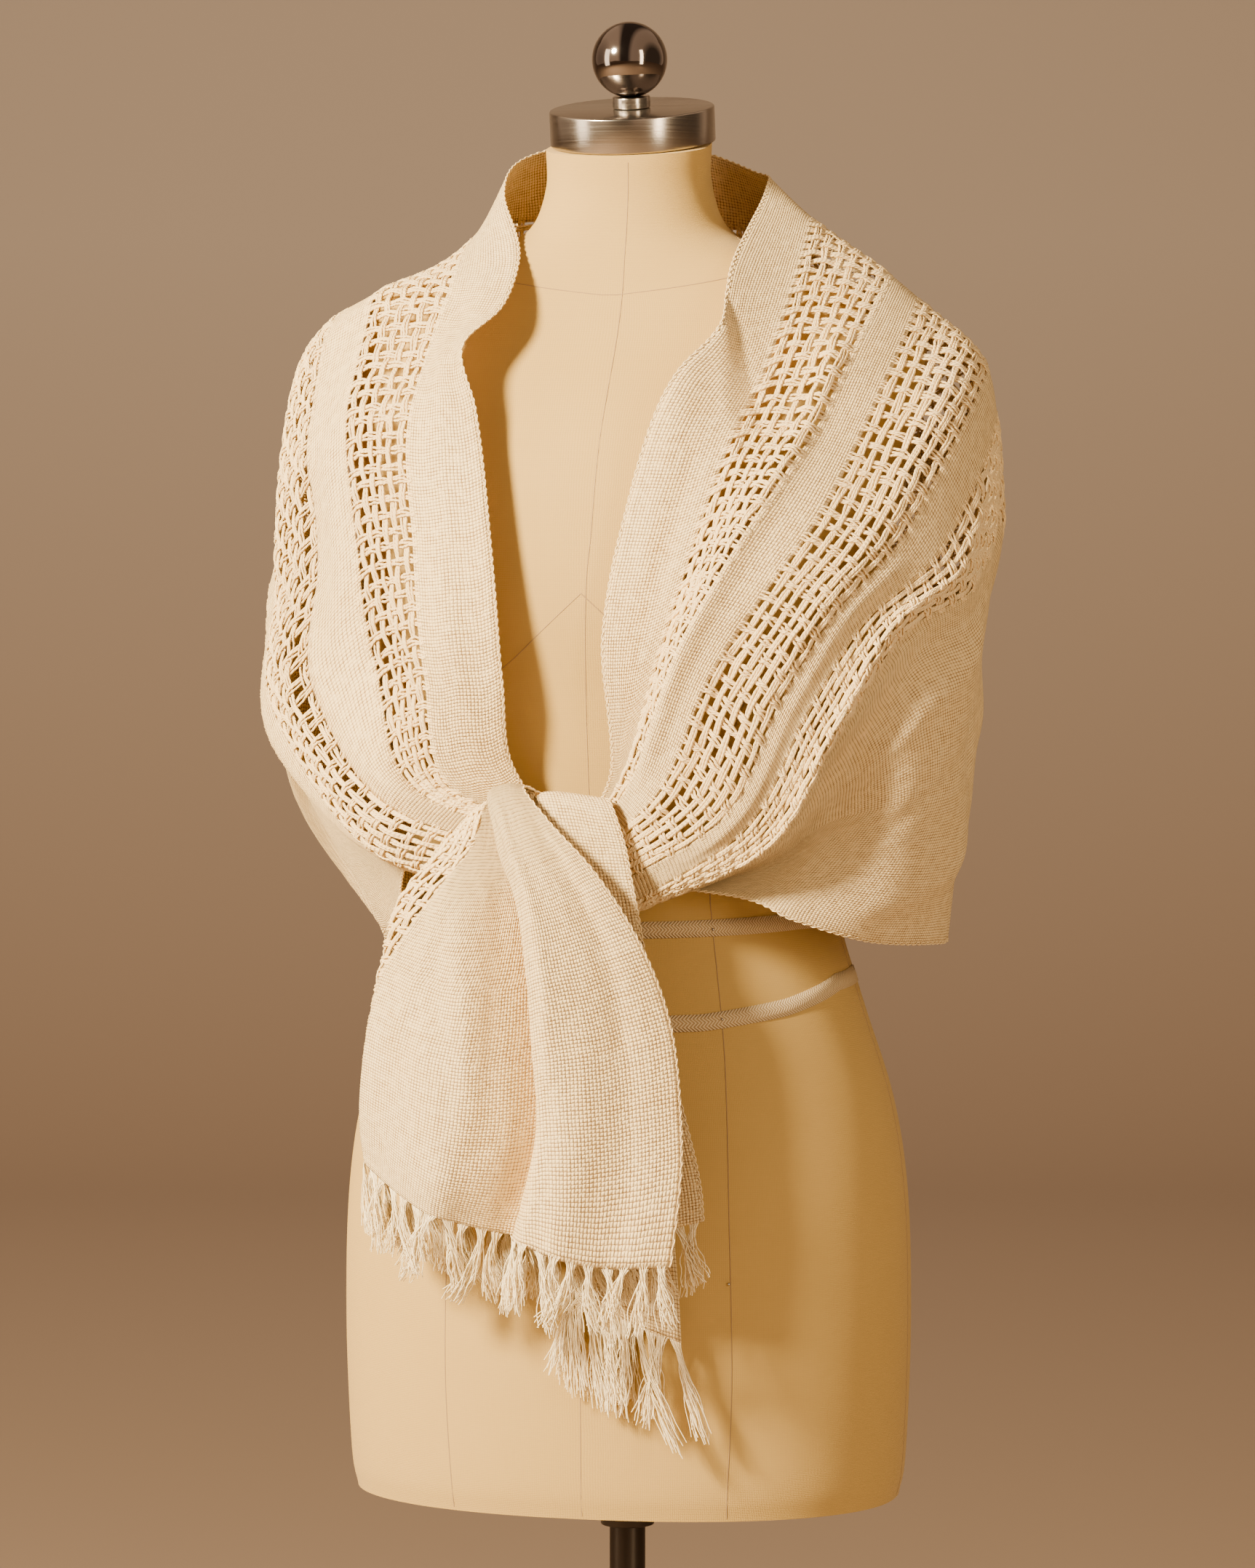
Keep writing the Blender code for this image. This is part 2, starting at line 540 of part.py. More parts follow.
def build_fringe(name, points, down, locks, lock_length, material):
    """Locks that hang from a narrow strip along the last row of the cloth."""
    edge = points[-1] + down * FRINGE_GAP
    lengths = np.concatenate(([0], np.cumsum(np.linalg.norm(np.diff(edge, axis=0), axis=1))))
    total = lengths[-1]
    pitch = total / locks
    stops = [0.0]
    for lock in range(locks):
        middle = (lock + 0.5) * pitch
        stops.append(middle - pitch * LOCK_FILL / 2)
        stops.append(middle + pitch * LOCK_FILL / 2)
    stops.append(total)
    stops = np.array(stops)
    place = np.stack([np.interp(stops, lengths, edge[:, axis]) for axis in range(3)], axis=1)
    tangent = np.gradient(place, axis=0)
    tangent /= np.linalg.norm(tangent, axis=1, keepdims=True)
    drop = np.tile(np.array((0.0, 0.0, -1.0)), (len(stops), 1))
    side = np.cross(drop, tangent)
    side /= np.linalg.norm(side, axis=1, keepdims=True)
    half = side * -CLOTH_WALL / 2
    vertices = []
    for position, offset in zip(place, half):
        low = position + np.array((0.0, 0.0, -FRINGE_STRIP))
        vertices.extend((position + offset, position - offset, low + offset, low - offset))
    faces = [(0, 2, 3, 1)]
    cells = len(stops) - 1
    for cell in range(cells):
        a = cell * 4
        b = a + 4
        faces.append((a, b, b + 2, a + 2))
        faces.append((a + 1, a + 3, b + 3, b + 1))
        faces.append((a, a + 1, b + 1, b))
        if cell % 2 == 0:
            faces.append((a + 2, b + 2, b + 3, a + 3))
            continue
        lock = cell // 2
        previous = (a + 2, b + 2, b + 3, a + 3)
        corners = np.array([vertices[index] for index in previous])
        centre = corners.mean(axis=0)
        long_by = 1 + LOCK_LENGTH_SPREAD * math.sin(2.3 * lock) * math.cos(0.9 * lock + 1)
        for segment in range(1, LOCK_SEGMENTS + 1):
            t = segment / LOCK_SEGMENTS
            size = 1 + (LOCK_TIP - 1) * t
            sway = LOCK_SWAY * math.sin(1.7 * lock) * t * t
            shift = np.array((sway, sway * 0.4, -lock_length * long_by * t))
            ring = centre + (corners - centre) * size + shift
            first = len(vertices)
            vertices.extend(ring)
            now = (first, first + 1, first + 2, first + 3)
            for corner in range(4):
                after = (corner + 1) % 4
                faces.append((previous[corner], previous[after], now[after], now[corner]))
            previous = now
        faces.append(previous)
    last = cells * 4
    faces.append((last, last + 1, last + 3, last + 2))
    return add_object(name, vertices, faces, material)


def build_tails(material):
    down = np.array((0.0, 0.0, -1.0))
    widths = split_rows(TAIL_LINES, TAIL_ROWS_PER_LINE)
    lengths = length_steps(TAIL_SECTIONS[0][0], TAIL_SECTIONS[-1][0], TAIL_LENGTH_STEP)
    points = cloth_surface(TAIL_SECTIONS, TAIL_LINES, lengths, widths)
    points = add_folds(points, lengths, widths, TAIL_FOLDS)
    shell("front_tail", points, grid_normals(points), CLOTH_WALL, material)
    locks = int(round((TAIL_LINES[-1] - TAIL_LINES[0]) / LOCK_PITCH))
    build_fringe("front_fringe", points, down, locks, LOCK_LENGTH, material)
    widths = split_rows(REAR_LINES, REAR_ROWS_PER_LINE)
    lengths = length_steps(REAR_SECTIONS[0][0], REAR_SECTIONS[-1][0], REAR_LENGTH_STEP)
    points = cloth_surface(REAR_SECTIONS, REAR_LINES, lengths, widths)
    shell("rear_tail", points, grid_normals(points), CLOTH_WALL, material)
    locks = int(round((REAR_LINES[-1] - REAR_LINES[0]) / LOCK_PITCH))
    build_fringe("rear_fringe", points, down, locks, REAR_LOCK_LENGTH, material)


def build_knot(material):
    profile = []
    for ring in range(KNOT_RINGS + 1):
        angle = KNOT_END_ANGLE * (2 * ring / KNOT_RINGS - 1)
        profile.append((math.cos(angle), math.sin(angle)))
    vertices = []
    for radius, height in profile:
        for side in range(KNOT_SIDES):
            angle = 2 * math.pi * side / KNOT_SIDES
            x = KNOT_CENTRE[0] + KNOT_RADII[0] * radius * math.cos(angle)
            y = KNOT_CENTRE[1] + KNOT_RADII[1] * radius * math.sin(angle)
            vertices.append((x, y, KNOT_CENTRE[2] + KNOT_RADII[2] * height))
    faces = loft_faces(len(profile), KNOT_SIDES)
    faces.append(tuple(range(KNOT_SIDES - 1, -1, -1)))
    top = (len(profile) - 1) * KNOT_SIDES
    faces.append(tuple(range(top, top + KNOT_SIDES)))
    return add_object("knot", vertices, faces, material)


def main():
    for item in list(bpy.data.objects):
        bpy.data.objects.remove(item)
    cotton = make_material("cotton")
    linen = make_material("linen")
    steel = make_material("brushed steel")
    chrome = make_material("dark chrome")
    dark = make_material("dark metal")
    rings = form_rings()
    build_form(linen)
    build_stand(steel, chrome, dark)
    build_wrap(cotton, rings)
    build_tails(cotton)
    build_knot(cotton)


main()
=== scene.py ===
# %% [markdown]
# # A lace shawl on a dress form
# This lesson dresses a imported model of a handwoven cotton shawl, knotted over a limbless dress
# form. The solids hold the sizes and the places. Here each one gets the surface that it has in
# real life: woven cloth, open lace made of separate yarns, fringe, linen, steel and chrome.

# %% Load the frame
import math
import bmesh
import bpy
import numpy as np
from mathutils import Matrix, Vector


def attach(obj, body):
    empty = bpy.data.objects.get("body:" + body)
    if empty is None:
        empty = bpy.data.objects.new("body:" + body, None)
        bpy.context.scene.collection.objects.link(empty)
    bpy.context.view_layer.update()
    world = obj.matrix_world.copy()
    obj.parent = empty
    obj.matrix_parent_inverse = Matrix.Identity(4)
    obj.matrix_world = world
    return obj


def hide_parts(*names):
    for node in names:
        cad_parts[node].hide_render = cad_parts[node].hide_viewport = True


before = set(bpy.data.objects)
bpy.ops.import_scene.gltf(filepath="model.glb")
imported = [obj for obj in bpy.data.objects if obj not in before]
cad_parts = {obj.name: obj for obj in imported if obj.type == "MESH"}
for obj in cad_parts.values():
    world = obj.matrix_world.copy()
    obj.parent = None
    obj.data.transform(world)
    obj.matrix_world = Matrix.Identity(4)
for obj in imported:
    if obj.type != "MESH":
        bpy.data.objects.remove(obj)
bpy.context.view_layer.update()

MM = 0.001
print("nodes:", len(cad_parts))

# %% [markdown]
# ## Camera
# The photograph was taken a little above the knot, from a few paces away with a long lens, and
# a little round to the form's left side. The camera aims at the pole's axis, 0.85 m up.

# %% Camera
CAMERA_DISTANCE = 3.5
CAMERA_AZIMUTH = math.radians(13.0)
CAMERA_RISE = math.radians(3.5)
AIM = Vector((0.0, 0.0, 0.85))


def place_camera():
    data = bpy.data.cameras.new("camera")
    data.lens = 131.2
    data.sensor_width = 36.0
    data.clip_end = 60.0
    camera = bpy.data.objects.new("camera", data)
    bpy.context.scene.collection.objects.link(camera)
    level = math.cos(CAMERA_RISE)
    away = Vector((math.sin(CAMERA_AZIMUTH) * level, -math.cos(CAMERA_AZIMUTH) * level, math.sin(CAMERA_RISE)))
    camera.location = AIM + away * CAMERA_DISTANCE
    camera.rotation_euler = away.to_track_quat("Z", "Y").to_euler()
    bpy.context.scene.camera = camera
    return camera


camera = place_camera()
print("camera at", [round(v, 3) for v in camera.location])

# %% [markdown]
# ## Sizes of the form
# A dress form is drawn as rings: how wide it is, and how deep in front of its axis and behind
# it. The rows below are in millimetres, from the hips up to the neck, as in the solids.

# %% Form rings
FORM_RINGS = (
    (416, 168, 112, 116),
    (440, 172, 116, 120),
    (520, 175, 119, 125),
    (600, 173, 117, 123),
    (660, 164, 110, 112),
    (720, 145, 101, 98),
    (775, 130, 94, 88),
    (830, 134, 98, 90),
    (900, 146, 112, 97),
    (960, 157, 122, 103),
    (1010, 165, 119, 106),
    (1055, 174, 106, 105),
    (1090, 182, 84, 98),
    (1112, 184, 68, 90),
    (1128, 180, 58, 84),
    (1140, 170, 52, 80),
    (1150, 154, 48, 77),
    (1162, 124, 45, 74),
    (1175, 86, 42, 70),
    (1190, 60, 38, 67),
    (1216, 50, 34, 65),
    (1241, 50, 34, 65),
)
FORM_SQUARENESS = 2.2
NECK_TILT = math.radians(11.0)
NECK_TILT_START = 1172
NECK_CENTRE_Y = 15.5


def smooth_through(knots, values, at):
    """Follow rows of values smoothly; the first axis of values belongs to the knots."""
    knots = np.asarray(knots, float)
    values = np.asarray(values, float)
    at = np.clip(np.asarray(at, float), knots[0], knots[-1])
    flat = [1] * (values.ndim - 1)
    steps = np.diff(knots)
    slopes = np.diff(values, axis=0) / steps.reshape(-1, *flat)
    tangents = np.empty_like(values)
    tangents[0] = slopes[0]
    tangents[-1] = slopes[-1]
    before = steps[:-1].reshape(-1, *flat)
    after = steps[1:].reshape(-1, *flat)
    tangents[1:-1] = (slopes[:-1] * after + slopes[1:] * before) / (before + after)
    span = np.clip(np.searchsorted(knots, at, side="right") - 1, 0, len(steps) - 1)
    width = steps[span].reshape(-1, *flat)
    t = ((at - knots[span]) / steps[span]).reshape(-1, *flat)
    start = (2 * t**3 - 3 * t**2 + 1) * values[span]
    end = (-2 * t**3 + 3 * t**2) * values[span + 1]
    leave = (t**3 - 2 * t**2 + t) * width * tangents[span]
    arrive = (t**3 - t**2) * width * tangents[span + 1]
    return start + end + leave + arrive


RING_STEPS = 6
ring_table = np.array(FORM_RINGS, float)
ring_rows = np.linspace(0, len(ring_table) - 1, (len(ring_table) - 1) * RING_STEPS + 1)
rings = smooth_through(np.arange(len(ring_table)), ring_table, ring_rows)
print("form rings:", len(rings))


# %% Where the form's surface is
def form_point(height, angle, proud=0.0):
    """A point on the form, in millimetres, at a height and an angle round it; 0 is its front."""
    half, front, back = (np.interp(height, rings[:, 0], rings[:, column]) for column in (1, 2, 3))
    sine = np.sin(angle)
    cosine = np.cos(angle)
    depth = np.where(cosine > 0, front, back)
    power = 2 / FORM_SQUARENESS
    x = (half + proud) * np.sign(sine) * np.abs(sine) ** power
    y = -(depth + proud) * np.sign(cosine) * np.abs(cosine) ** power
    tilt = np.clip((height - NECK_TILT_START) / (rings[-1, 0] - NECK_TILT_START), 0, 1)
    z = height + (y - NECK_CENTRE_Y) * math.tan(NECK_TILT) * tilt
    return np.stack((x, y, z), axis=-1)


def form_excess(points):
    """How far outside the form each point lies, as a fraction of the ring's size."""
    height = np.clip(points[:, 2], rings[0, 0], rings[-1, 0])
    half, front, back = (np.interp(height, rings[:, 0], rings[:, column]) for column in (1, 2, 3))
    depth = np.where(points[:, 1] < 0, front, back)
    across = np.abs(points[:, 0] / half) ** FORM_SQUARENESS
    along = np.abs(points[:, 1] / depth) ** FORM_SQUARENESS
    return (across + along) ** (1 / FORM_SQUARENESS) - 1


def rest_on_form(points, clearance):
    """Move points that lie too near the form out along its surface direction."""
    shape = points.shape
    points = points.reshape(-1, 3).copy()
    for _ in range(10):
        excess = form_excess(points)
        gradient = np.empty_like(points)
        for axis in range(3):
            step = np.zeros(3)
            step[axis] = 0.5
            gradient[:, axis] = form_excess(points + step) - form_excess(points - step)
        size = np.maximum(np.linalg.norm(gradient, axis=1), 1e-9)
        short = np.clip(clearance - excess / size, 0, 6)
        points += gradient / size[:, None] * short[:, None]
    return points.reshape(shape)


# %% [markdown]
# ## The shawl's path
# The shawl is one long rectangle. Three lace stripes run along it between plain ones, so each
# section across the cloth is a row with a point for each stripe's edge. The rows go from the
# right side of the knot, round the back of the neck, to the left side of the knot.

# %% Sections of the wrap
STRIPE_LINES = (0, 50, 110, 145, 210, 245, 305, 430, 555)
WRAP_SECTIONS = (
    (0, (-24, -111, 836), (-30, -117, 833), (-35, -123, 826), (-40, -127, 818), (-52, -126, 795),
     (-46, -115, 789), (-38, -110, 796), (-27, -112, 804), (-22.6, -114, 812)),
    (45, (-42, -122, 868), (-80, -126, 855), (-100, -127, 853), (-116, -129, 842), (-128, -114, 812),
     (-121, -97, 807), (-113, -90, 811), (-110, -84, 814), (-106, -80, 814)),
    (105, (-44, -138, 918), (-93, -132, 920), (-130, -108, 926), (-176, -80, 903), (-212, -37, 886),
     (-214, -12, 864), (-203, 4, 842), (-180, 8, 806), (-143, -10, 766)),
    (190, (-51, -138, 1000), (-102, -124, 998), (-143, -103, 1000), (-177, -70, 985), (-218, -20, 968),
     (-226, 2, 942), (-222, 14, 896), (-203, 30, 825), (-164, 44, 754)),
    (270, (-66, -116, 1080), (-109, -106, 1076), (-154, -81, 1080), (-187, -52, 1062), (-216, -16, 1028),
     (-219, 0, 1000), (-222, 8, 945), (-222, 26, 845), (-173, 62, 752)),
    (303, (-77, -102, 1117), (-105, -86, 1108), (-153, -60, 1109), (-187, -40, 1087), (-215, -12, 1050),
     (-218, 2, 1020), (-221, 10, 964), (-222, 30, 858), (-174, 70, 750)),
    (330, (-59, -78, 1140), (-101, -72, 1132), (-152, -44, 1130), (-186, -32, 1106), (-214, -8, 1065),
     (-217, 3, 1034), (-220, 11, 979), (-222, 32, 868), (-174, 76, 749)),
    (356, (-56, -50, 1166), (-99, -56, 1150), (-152, -32, 1145), (-186, -24, 1120), (-213, -5, 1078),
     (-217, 5, 1046), (-219, 13, 990), (-222, 35, 876), (-174, 81, 748)),
    (410, (-80, 10, 1211), (-103, 4, 1178), (-148, 4, 1154), (-180, 8, 1140), (-210, 14, 1098),
     (-214, 18, 1068), (-216, 24, 1012), (-214, 48, 892), (-172, 98, 743)),
    (500, (-66, 66, 1240), (-88, 86, 1196), (-122, 94, 1150), (-142, 100, 1126), (-166, 112, 1068),
     (-172, 116, 1036), (-176, 120, 978), (-168, 124, 856), (-128, 130, 730)),
    (585, (0, 90, 1245), (0, 99, 1197), (0, 114, 1140), (0, 121, 1106), (0, 129, 1042),
     (0, 130, 1008), (0, 128, 948), (0, 128, 824), (0, 134, 710)),
    (670, (64, 63, 1226), (90, 80, 1185), (124, 86, 1142), (146, 92, 1119), (174, 104, 1068),
     (182, 108, 1038), (186, 112, 982), (174, 116, 862), (134, 126, 757)),
    (760, (80, 26, 1210), (111, 14, 1187), (158, 6, 1158), (179, 6, 1141), (220, 10, 1104),
     (226, 12, 1074), (226, 16, 1020), (204, 38, 898), (175, 88, 759)),
    (820, (76, -54, 1163), (109, -60, 1131), (149, -66, 1109), (171, -62, 1093), (216, -46, 1072),
     (226, -34, 1046), (229, -22, 996), (211, 4, 882), (191, 46, 754)),
    (858, (76, -88, 1128), (100, -86, 1092), (136, -94, 1068), (158, -90, 1054), (204, -70, 1042),
     (218, -56, 1020), (227, -38, 985), (212, -16, 872), (194, 20, 756)),
    (895, (56, -110, 1101), (90, -110, 1063), (122, -120, 1040), (148, -116, 1024), (190, -95, 1008),
     (208, -78, 994), (224, -54, 972), (214, -36, 862), (197, -6, 757)),
    (975, (30, -128, 1024), (71, -133, 1000), (92, -145, 987), (119, -142, 976), (152, -130, 957),
     (168, -117, 952), (188, -104, 944), (188, -84, 850), (163, -72, 763)),
    (1040, (16, -134, 945), (52, -136, 938), (64, -149, 936), (84, -148, 922), (122, -138, 906),
     (138, -130, 900), (152, -122, 884), (142, -88, 836), (124, -100, 777)),
    (1105, (18, -120, 868), (27, -122, 866), (35, -136, 864), (53, -142, 856), (88, -140, 838),
     (99, -134, 830), (108, -126, 818), (96, -96, 806), (88, -104, 791)),
    (1160, (2, -107, 834), (5, -110, 832), (8, -117, 828), (14, -125, 820), (22, -127, 798),
     (26, -122, 784), (24, -115, 778), (12, -112, 788), (4.8, -114, 800)),
)
WRAP_FOLDS = (
    ((830, 100), (1080, 118), 9, 5.0),
    ((800, 186), (1060, 196), 14, 3.0),
    ((860, 262), (1090, 300), 10, 3.5),
    ((900, 330), (1060, 360), 22, -6.0),
    ((760, 420), (940, 500), 26, 5.0),
    ((700, 360), (780, 540), 24, -5.0),
    ((640, 330), (690, 555), 26, 7.0),
    ((600, 380), (620, 555), 20, -5.0),
    ((540, 340), (560, 555), 24, 6.0),
    ((480, 360), (470, 555), 22, -5.0),
    ((420, 330), (400, 540), 26, 6.0),
    ((340, 420), (300, 545), 22, -4.0),
    ((130, 30), (330, 22), 12, 2.5),
    ((90, 122), (230, 128), 13, -4.5),
    ((100, 156), (240, 150), 12, 3.0),
)
FOLD_FADE = 2.2
WRAP_LENGTH = WRAP_SECTIONS[-1][0]
CLOTH_WIDTH = STRIPE_LINES[-1]
print("wrap sections:", len(WRAP_SECTIONS), "folds:", len(WRAP_FOLDS))

# %% [markdown]
# ## The two hanging ends
# The end from the form's left comes up behind the crossing and falls over it, folded into a
# right panel, a left lobe and a layer behind. The other end hangs behind and shows its corner.

# %% Sections of the tails
TAIL_LINES = (0, 50, 100, 125, 185, 250, 345, 455, 555)
TAIL_SECTIONS = (
    (0, (-22, -126, 851), (-30, -128, 854), (-39, -127, 851), (-42, -123, 848), (-48, -125, 845),
     (-51, -124, 842), (-36, -120, 843), (-10, -123, 849), (15, -127, 848)),
    (20, (-31, -137, 856), (-40, -142, 858), (-51, -141, 853), (-48, -134, 849), (-54, -137, 846),
     (-60, -133, 841), (-38, -127, 846), (-18, -132, 853), (20, -136, 849)),
    (55, (-12, -154, 837), (-27, -162, 832), (-41, -159, 824), (-36, -145, 820), (-60, -152, 818),
     (-79, -147, 820), (-55, -136, 816), (-20, -142, 828), (30, -141, 826)),
    (95, (16, -162, 810), (-7, -171, 800), (-28, -169, 792), (-20, -147, 788), (-64, -167, 784),
     (-104, -148, 789), (-66, -136, 775), (-16, -143, 792), (37, -144, 796)),
    (145, (44, -161, 768), (12, -173, 757), (-20, -176, 748), (-11, -148, 744), (-62, -175, 736),
     (-116, -146, 747), (-76, -134, 720), (-8, -142, 740), (45, -146, 756)),
    (195, (61, -156, 722), (23, -172, 711), (-16, -178, 704), (-8, -148, 700), (-62, -177, 692),
     (-125, -144, 707), (-80, -133, 684), (0, -138, 694), (57, -144, 704)),
    (245, (68, -158, 672), (28, -174, 664), (-13, -178, 660), (-8, -148, 655), (-62, -177, 650),
     (-129, -143, 671), (-80, -133, 652), (13, -138, 652), (69, -142, 656)),
    (290, (69, -163, 624), (26, -175, 616), (-19, -178, 615), (-22, -150, 611), (-70, -175, 616),
     (-129, -143, 645), (-80, -134, 624), (14, -139, 612), (77, -143, 622)),
    (318, (64, -166, 577), (20, -176, 577), (-24, -176, 589), (-30, -153, 590), (-76, -173, 603),
     (-127, -144, 630), (-78, -136, 607), (14, -140, 588), (79, -144, 602)),
)
TAIL_FOLDS = (
    ((90, 30), (318, 40), 12, 2.5),
    ((120, 205), (318, 170), 12, 3.5),
    ((10, 272), (318, 284), 10, 6.5),
    ((10, 302), (318, 314), 10, -6.5),
    ((10, 332), (318, 344), 10, 6.5),
    ((10, 362), (318, 374), 10, -6.5),
    ((10, 392), (318, 402), 10, 6.0),
    ((10, 422), (318, 430), 10, -6.0),
)
REAR_LINES = (0, 28, 56, 84, 107, 130)
REAR_SECTIONS = (
    (0, (20, -115, 774.3), (12, -118, 777.3), (0, -121, 779.3),
     (-14, -121, 779.8), (-20, -115, 777.3), (-6, -111.5, 775.3)),
    (70, (38, -118, 700), (22, -122, 699), (2, -121, 698),
     (-12, -118, 698), (2, -113, 698), (22, -113, 699)),
    (140, (52, -124, 632), (30, -129, 630), (8, -127, 632),
     (-8, -123, 636), (10, -118, 634), (32, -118, 632)),
    (200, (60, -127, 562), (36, -132, 566), (12, -130, 574),
     (-6, -126, 584), (14, -121.5, 578), (36, -121.3, 570)),
    (255, (64, -129, 498), (38, -133, 512), (12, -131, 527),
     (-7, -127, 538), (14, -122.2, 528), (38, -122, 514)),
)
TAIL_LENGTH = TAIL_SECTIONS[-1][0]
REAR_LENGTH = 230.0
print("tail lengths:", TAIL_LENGTH, REAR_LENGTH)

# %% [markdown]
# ## From flat cloth to worn cloth
# Everything woven is first thought of flat: a length along the shawl, a width across it and a
# height above the cloth's middle. A fine chart holds where each flat spot ends up, and every
# yarn, panel and selvedge is laid on that chart. That keeps them together as they fold.


# %% Charts of the cloth
def cloth_surface(sections, lines, lengths, widths):
    knots = [row[0] for row in sections]
    table = np.array([row[1:] for row in sections], float)
    along = smooth_through(knots, table, lengths)
    return np.swapaxes(smooth_through(lines, np.swapaxes(along, 0, 1), widths), 0, 1)


def grid_normals(points):
    normal = np.cross(np.gradient(points, axis=0), np.gradient(points, axis=1))
    return normal / np.maximum(np.linalg.norm(normal, axis=2, keepdims=True), 1e-9)


def fold_heights(lengths, widths, folds):
    height = np.zeros((len(lengths), len(widths)))
    long_grid, wide_grid = np.meshgrid(lengths, widths, indexing="ij")
    for start, end, half_width, rise in folds:
        path = np.array(end, float) - np.array(start, float)
        reach = np.linalg.norm(path)
        path /= reach
        along = (long_grid - start[0]) * path[0] + (wide_grid - start[1]) * path[1]
        aside = (wide_grid - start[1]) * path[0] - (long_grid - start[0]) * path[1]
        past = np.clip(along, 0, reach) - along
        height += rise * np.exp(-((past / (FOLD_FADE * half_width)) ** 2)) * np.exp(-((aside / half_width) ** 2))
    return height


class Chart:
    """Where flat spots of one stretch of cloth end up, read between the points of a fine grid."""

    def __init__(self, sections, lines, folds, creases, on_form, step=2.5):
        self.length = sections[-1][0]
        self.width = lines[-1]
        self.lengths = np.linspace(0, self.length, int(self.length / step) + 1)
        self.widths = np.linspace(0, self.width, int(self.width / step) + 1)
        points = cloth_surface(sections, lines, self.lengths, self.widths)
        heights = fold_heights(self.lengths, self.widths, folds)
        heights += fold_heights(self.lengths, self.widths, creases)
        points = points + grid_normals(points) * heights[:, :, None]
        if on_form:
            points = rest_on_form(points, 1.5)
        self.points = points
        self.normals = grid_normals(points)

    def place(self, length, width, rise=0.0):
        """World points, in metres, for flat spots given in millimetres."""
        length, width = np.broadcast_arrays(np.asarray(length, float), np.asarray(width, float))
        i = np.clip(length / self.length, 0, 1) * (len(self.lengths) - 1)
        j = np.clip(width / self.width, 0, 1) * (len(self.widths) - 1)
        i0 = np.minimum(i.astype(int), len(self.lengths) - 2)
        j0 = np.minimum(j.astype(int), len(self.widths) - 2)
        a = (i - i0)[..., None]
        b = (j - j0)[..., None]
        out = []
        for grid in (self.points, self.normals):
            low = grid[i0, j0] * (1 - b) + grid[i0, j0 + 1] * b
            high = grid[i0 + 1, j0] * (1 - b) + grid[i0 + 1, j0 + 1] * b
            out.append(low * (1 - a) + high * a)
        normal = out[1] / np.maximum(np.linalg.norm(out[1], axis=-1, keepdims=True), 1e-9)
        return (out[0] + normal * np.broadcast_to(rise, length.shape)[..., None]) * MM


# %% [markdown]
# ### Creases
# Cotton keeps small creases where it was pulled to the knot and pressed over the shoulder. They
# are too fine for the solids, so each is a row here: where it starts and ends on the flat cloth,
# how wide it is, and how high or deep. The hidden back has its own.

# %% Creases
WRAP_CREASES = (
    ((58, 122), (236, 127), 10, 6.5),
    ((52, 148), (228, 150), 8, -5.0),
    ((60, 214), (210, 219), 8, -5.0),
    ((70, 238), (220, 244), 10, 4.0),
    ((842, 8), (872, 60), 5, -2.2),
    ((860, 6), (900, 52), 6, 2.0),
    ((905, 12), (1000, 20), 6, 1.4),
    ((925, 34), (1040, 30), 5, -1.3),
    ((990, 80), (1120, 96), 6, 2.0),
    ((1010, 150), (1120, 168), 7, -2.2),
    ((930, 222), (1110, 226), 7, 1.8),
    ((960, 312), (1100, 322), 6, -2.6),
    ((880, 350), (1020, 395), 9, 2.2),
    ((860, 400), (980, 450), 8, -2.0),
    ((840, 470), (960, 520), 10, 1.8),
    ((790, 330), (850, 430), 10, -1.8),
    ((60, 20), (180, 34), 6, 1.4),
    ((40, 60), (160, 90), 6, -1.6),
    ((50, 130), (190, 150), 7, 1.8),
    ((60, 182), (170, 196), 6, -1.8),
    ((210, 200), (330, 186), 9, 1.8),
    ((240, 320), (360, 300), 10, -1.8),
    ((300, 12), (350, 44), 6, -2.0),
    ((500, 20), (540, 60), 8, 1.2),
    ((600, 30), (660, 70), 8, -1.2),
    ((450, 160), (520, 240), 10, 1.4),
    ((560, 150), (600, 260), 12, -1.5),
    ((640, 180), (700, 280), 10, 1.6),
    ((520, 300), (500, 420), 10, -1.6),
    ((660, 300), (640, 440), 10, 1.6),
    ((430, 330), (545, 520), 24, -4.0),
    ((462, 318), (590, 505), 20, 3.4),
    ((742, 330), (640, 525), 24, -4.5),
    ((710, 316), (612, 500), 18, 3.2),
    ((500, 100), (570, 300), 20, 2.6),
    ((668, 90), (616, 280), 18, 2.4),
    ((585, 430), (578, 548), 22, -3.4),
    ((400, 420), (430, 545), 18, 3.0),
    ((780, 440), (742, 548), 18, 3.4),
)
TAIL_CREASES = (
    ((60, 111), (318, 113), 8, -5.0),
    ((50, 90), (318, 88), 9, 3.0),
    ((60, 20), (200, 34), 5, 1.2),
    ((50, 70), (210, 84), 5, -1.4),
    ((90, 160), (250, 172), 6, 1.8),
    ((70, 195), (180, 225), 6, -2.0),
    ((150, 215), (300, 232), 8, 1.6),
    ((200, 60), (318, 70), 8, -1.2),
    ((40, 300), (150, 330), 8, 1.5),
    ((60, 480), (260, 500), 8, 1.4),
)
wrap_chart = Chart(WRAP_SECTIONS, STRIPE_LINES, WRAP_FOLDS, WRAP_CREASES, True)
tail_chart = Chart(TAIL_SECTIONS, TAIL_LINES, TAIL_FOLDS, TAIL_CREASES, False)
rear_chart = Chart(REAR_SECTIONS, REAR_LINES, (), (), False)
print("chart points:", wrap_chart.points.shape, tail_chart.points.shape)

# %% [markdown]
# The sections are easy to draw but they aren't evenly spaced on the cloth. Real cloth hardly
# stretches, so each line along the shawl is measured from the middle of the back and its flat
# lengths are spread evenly over it. What is left over is squeezed together next to the knot.

# %% Even spread of the wrap
WRAP_FLAT = 1235.0
BACK_CENTRE = 585.0
FLAT_CENTRE = 622.0
KNOT_SQUEEZE = 0.35


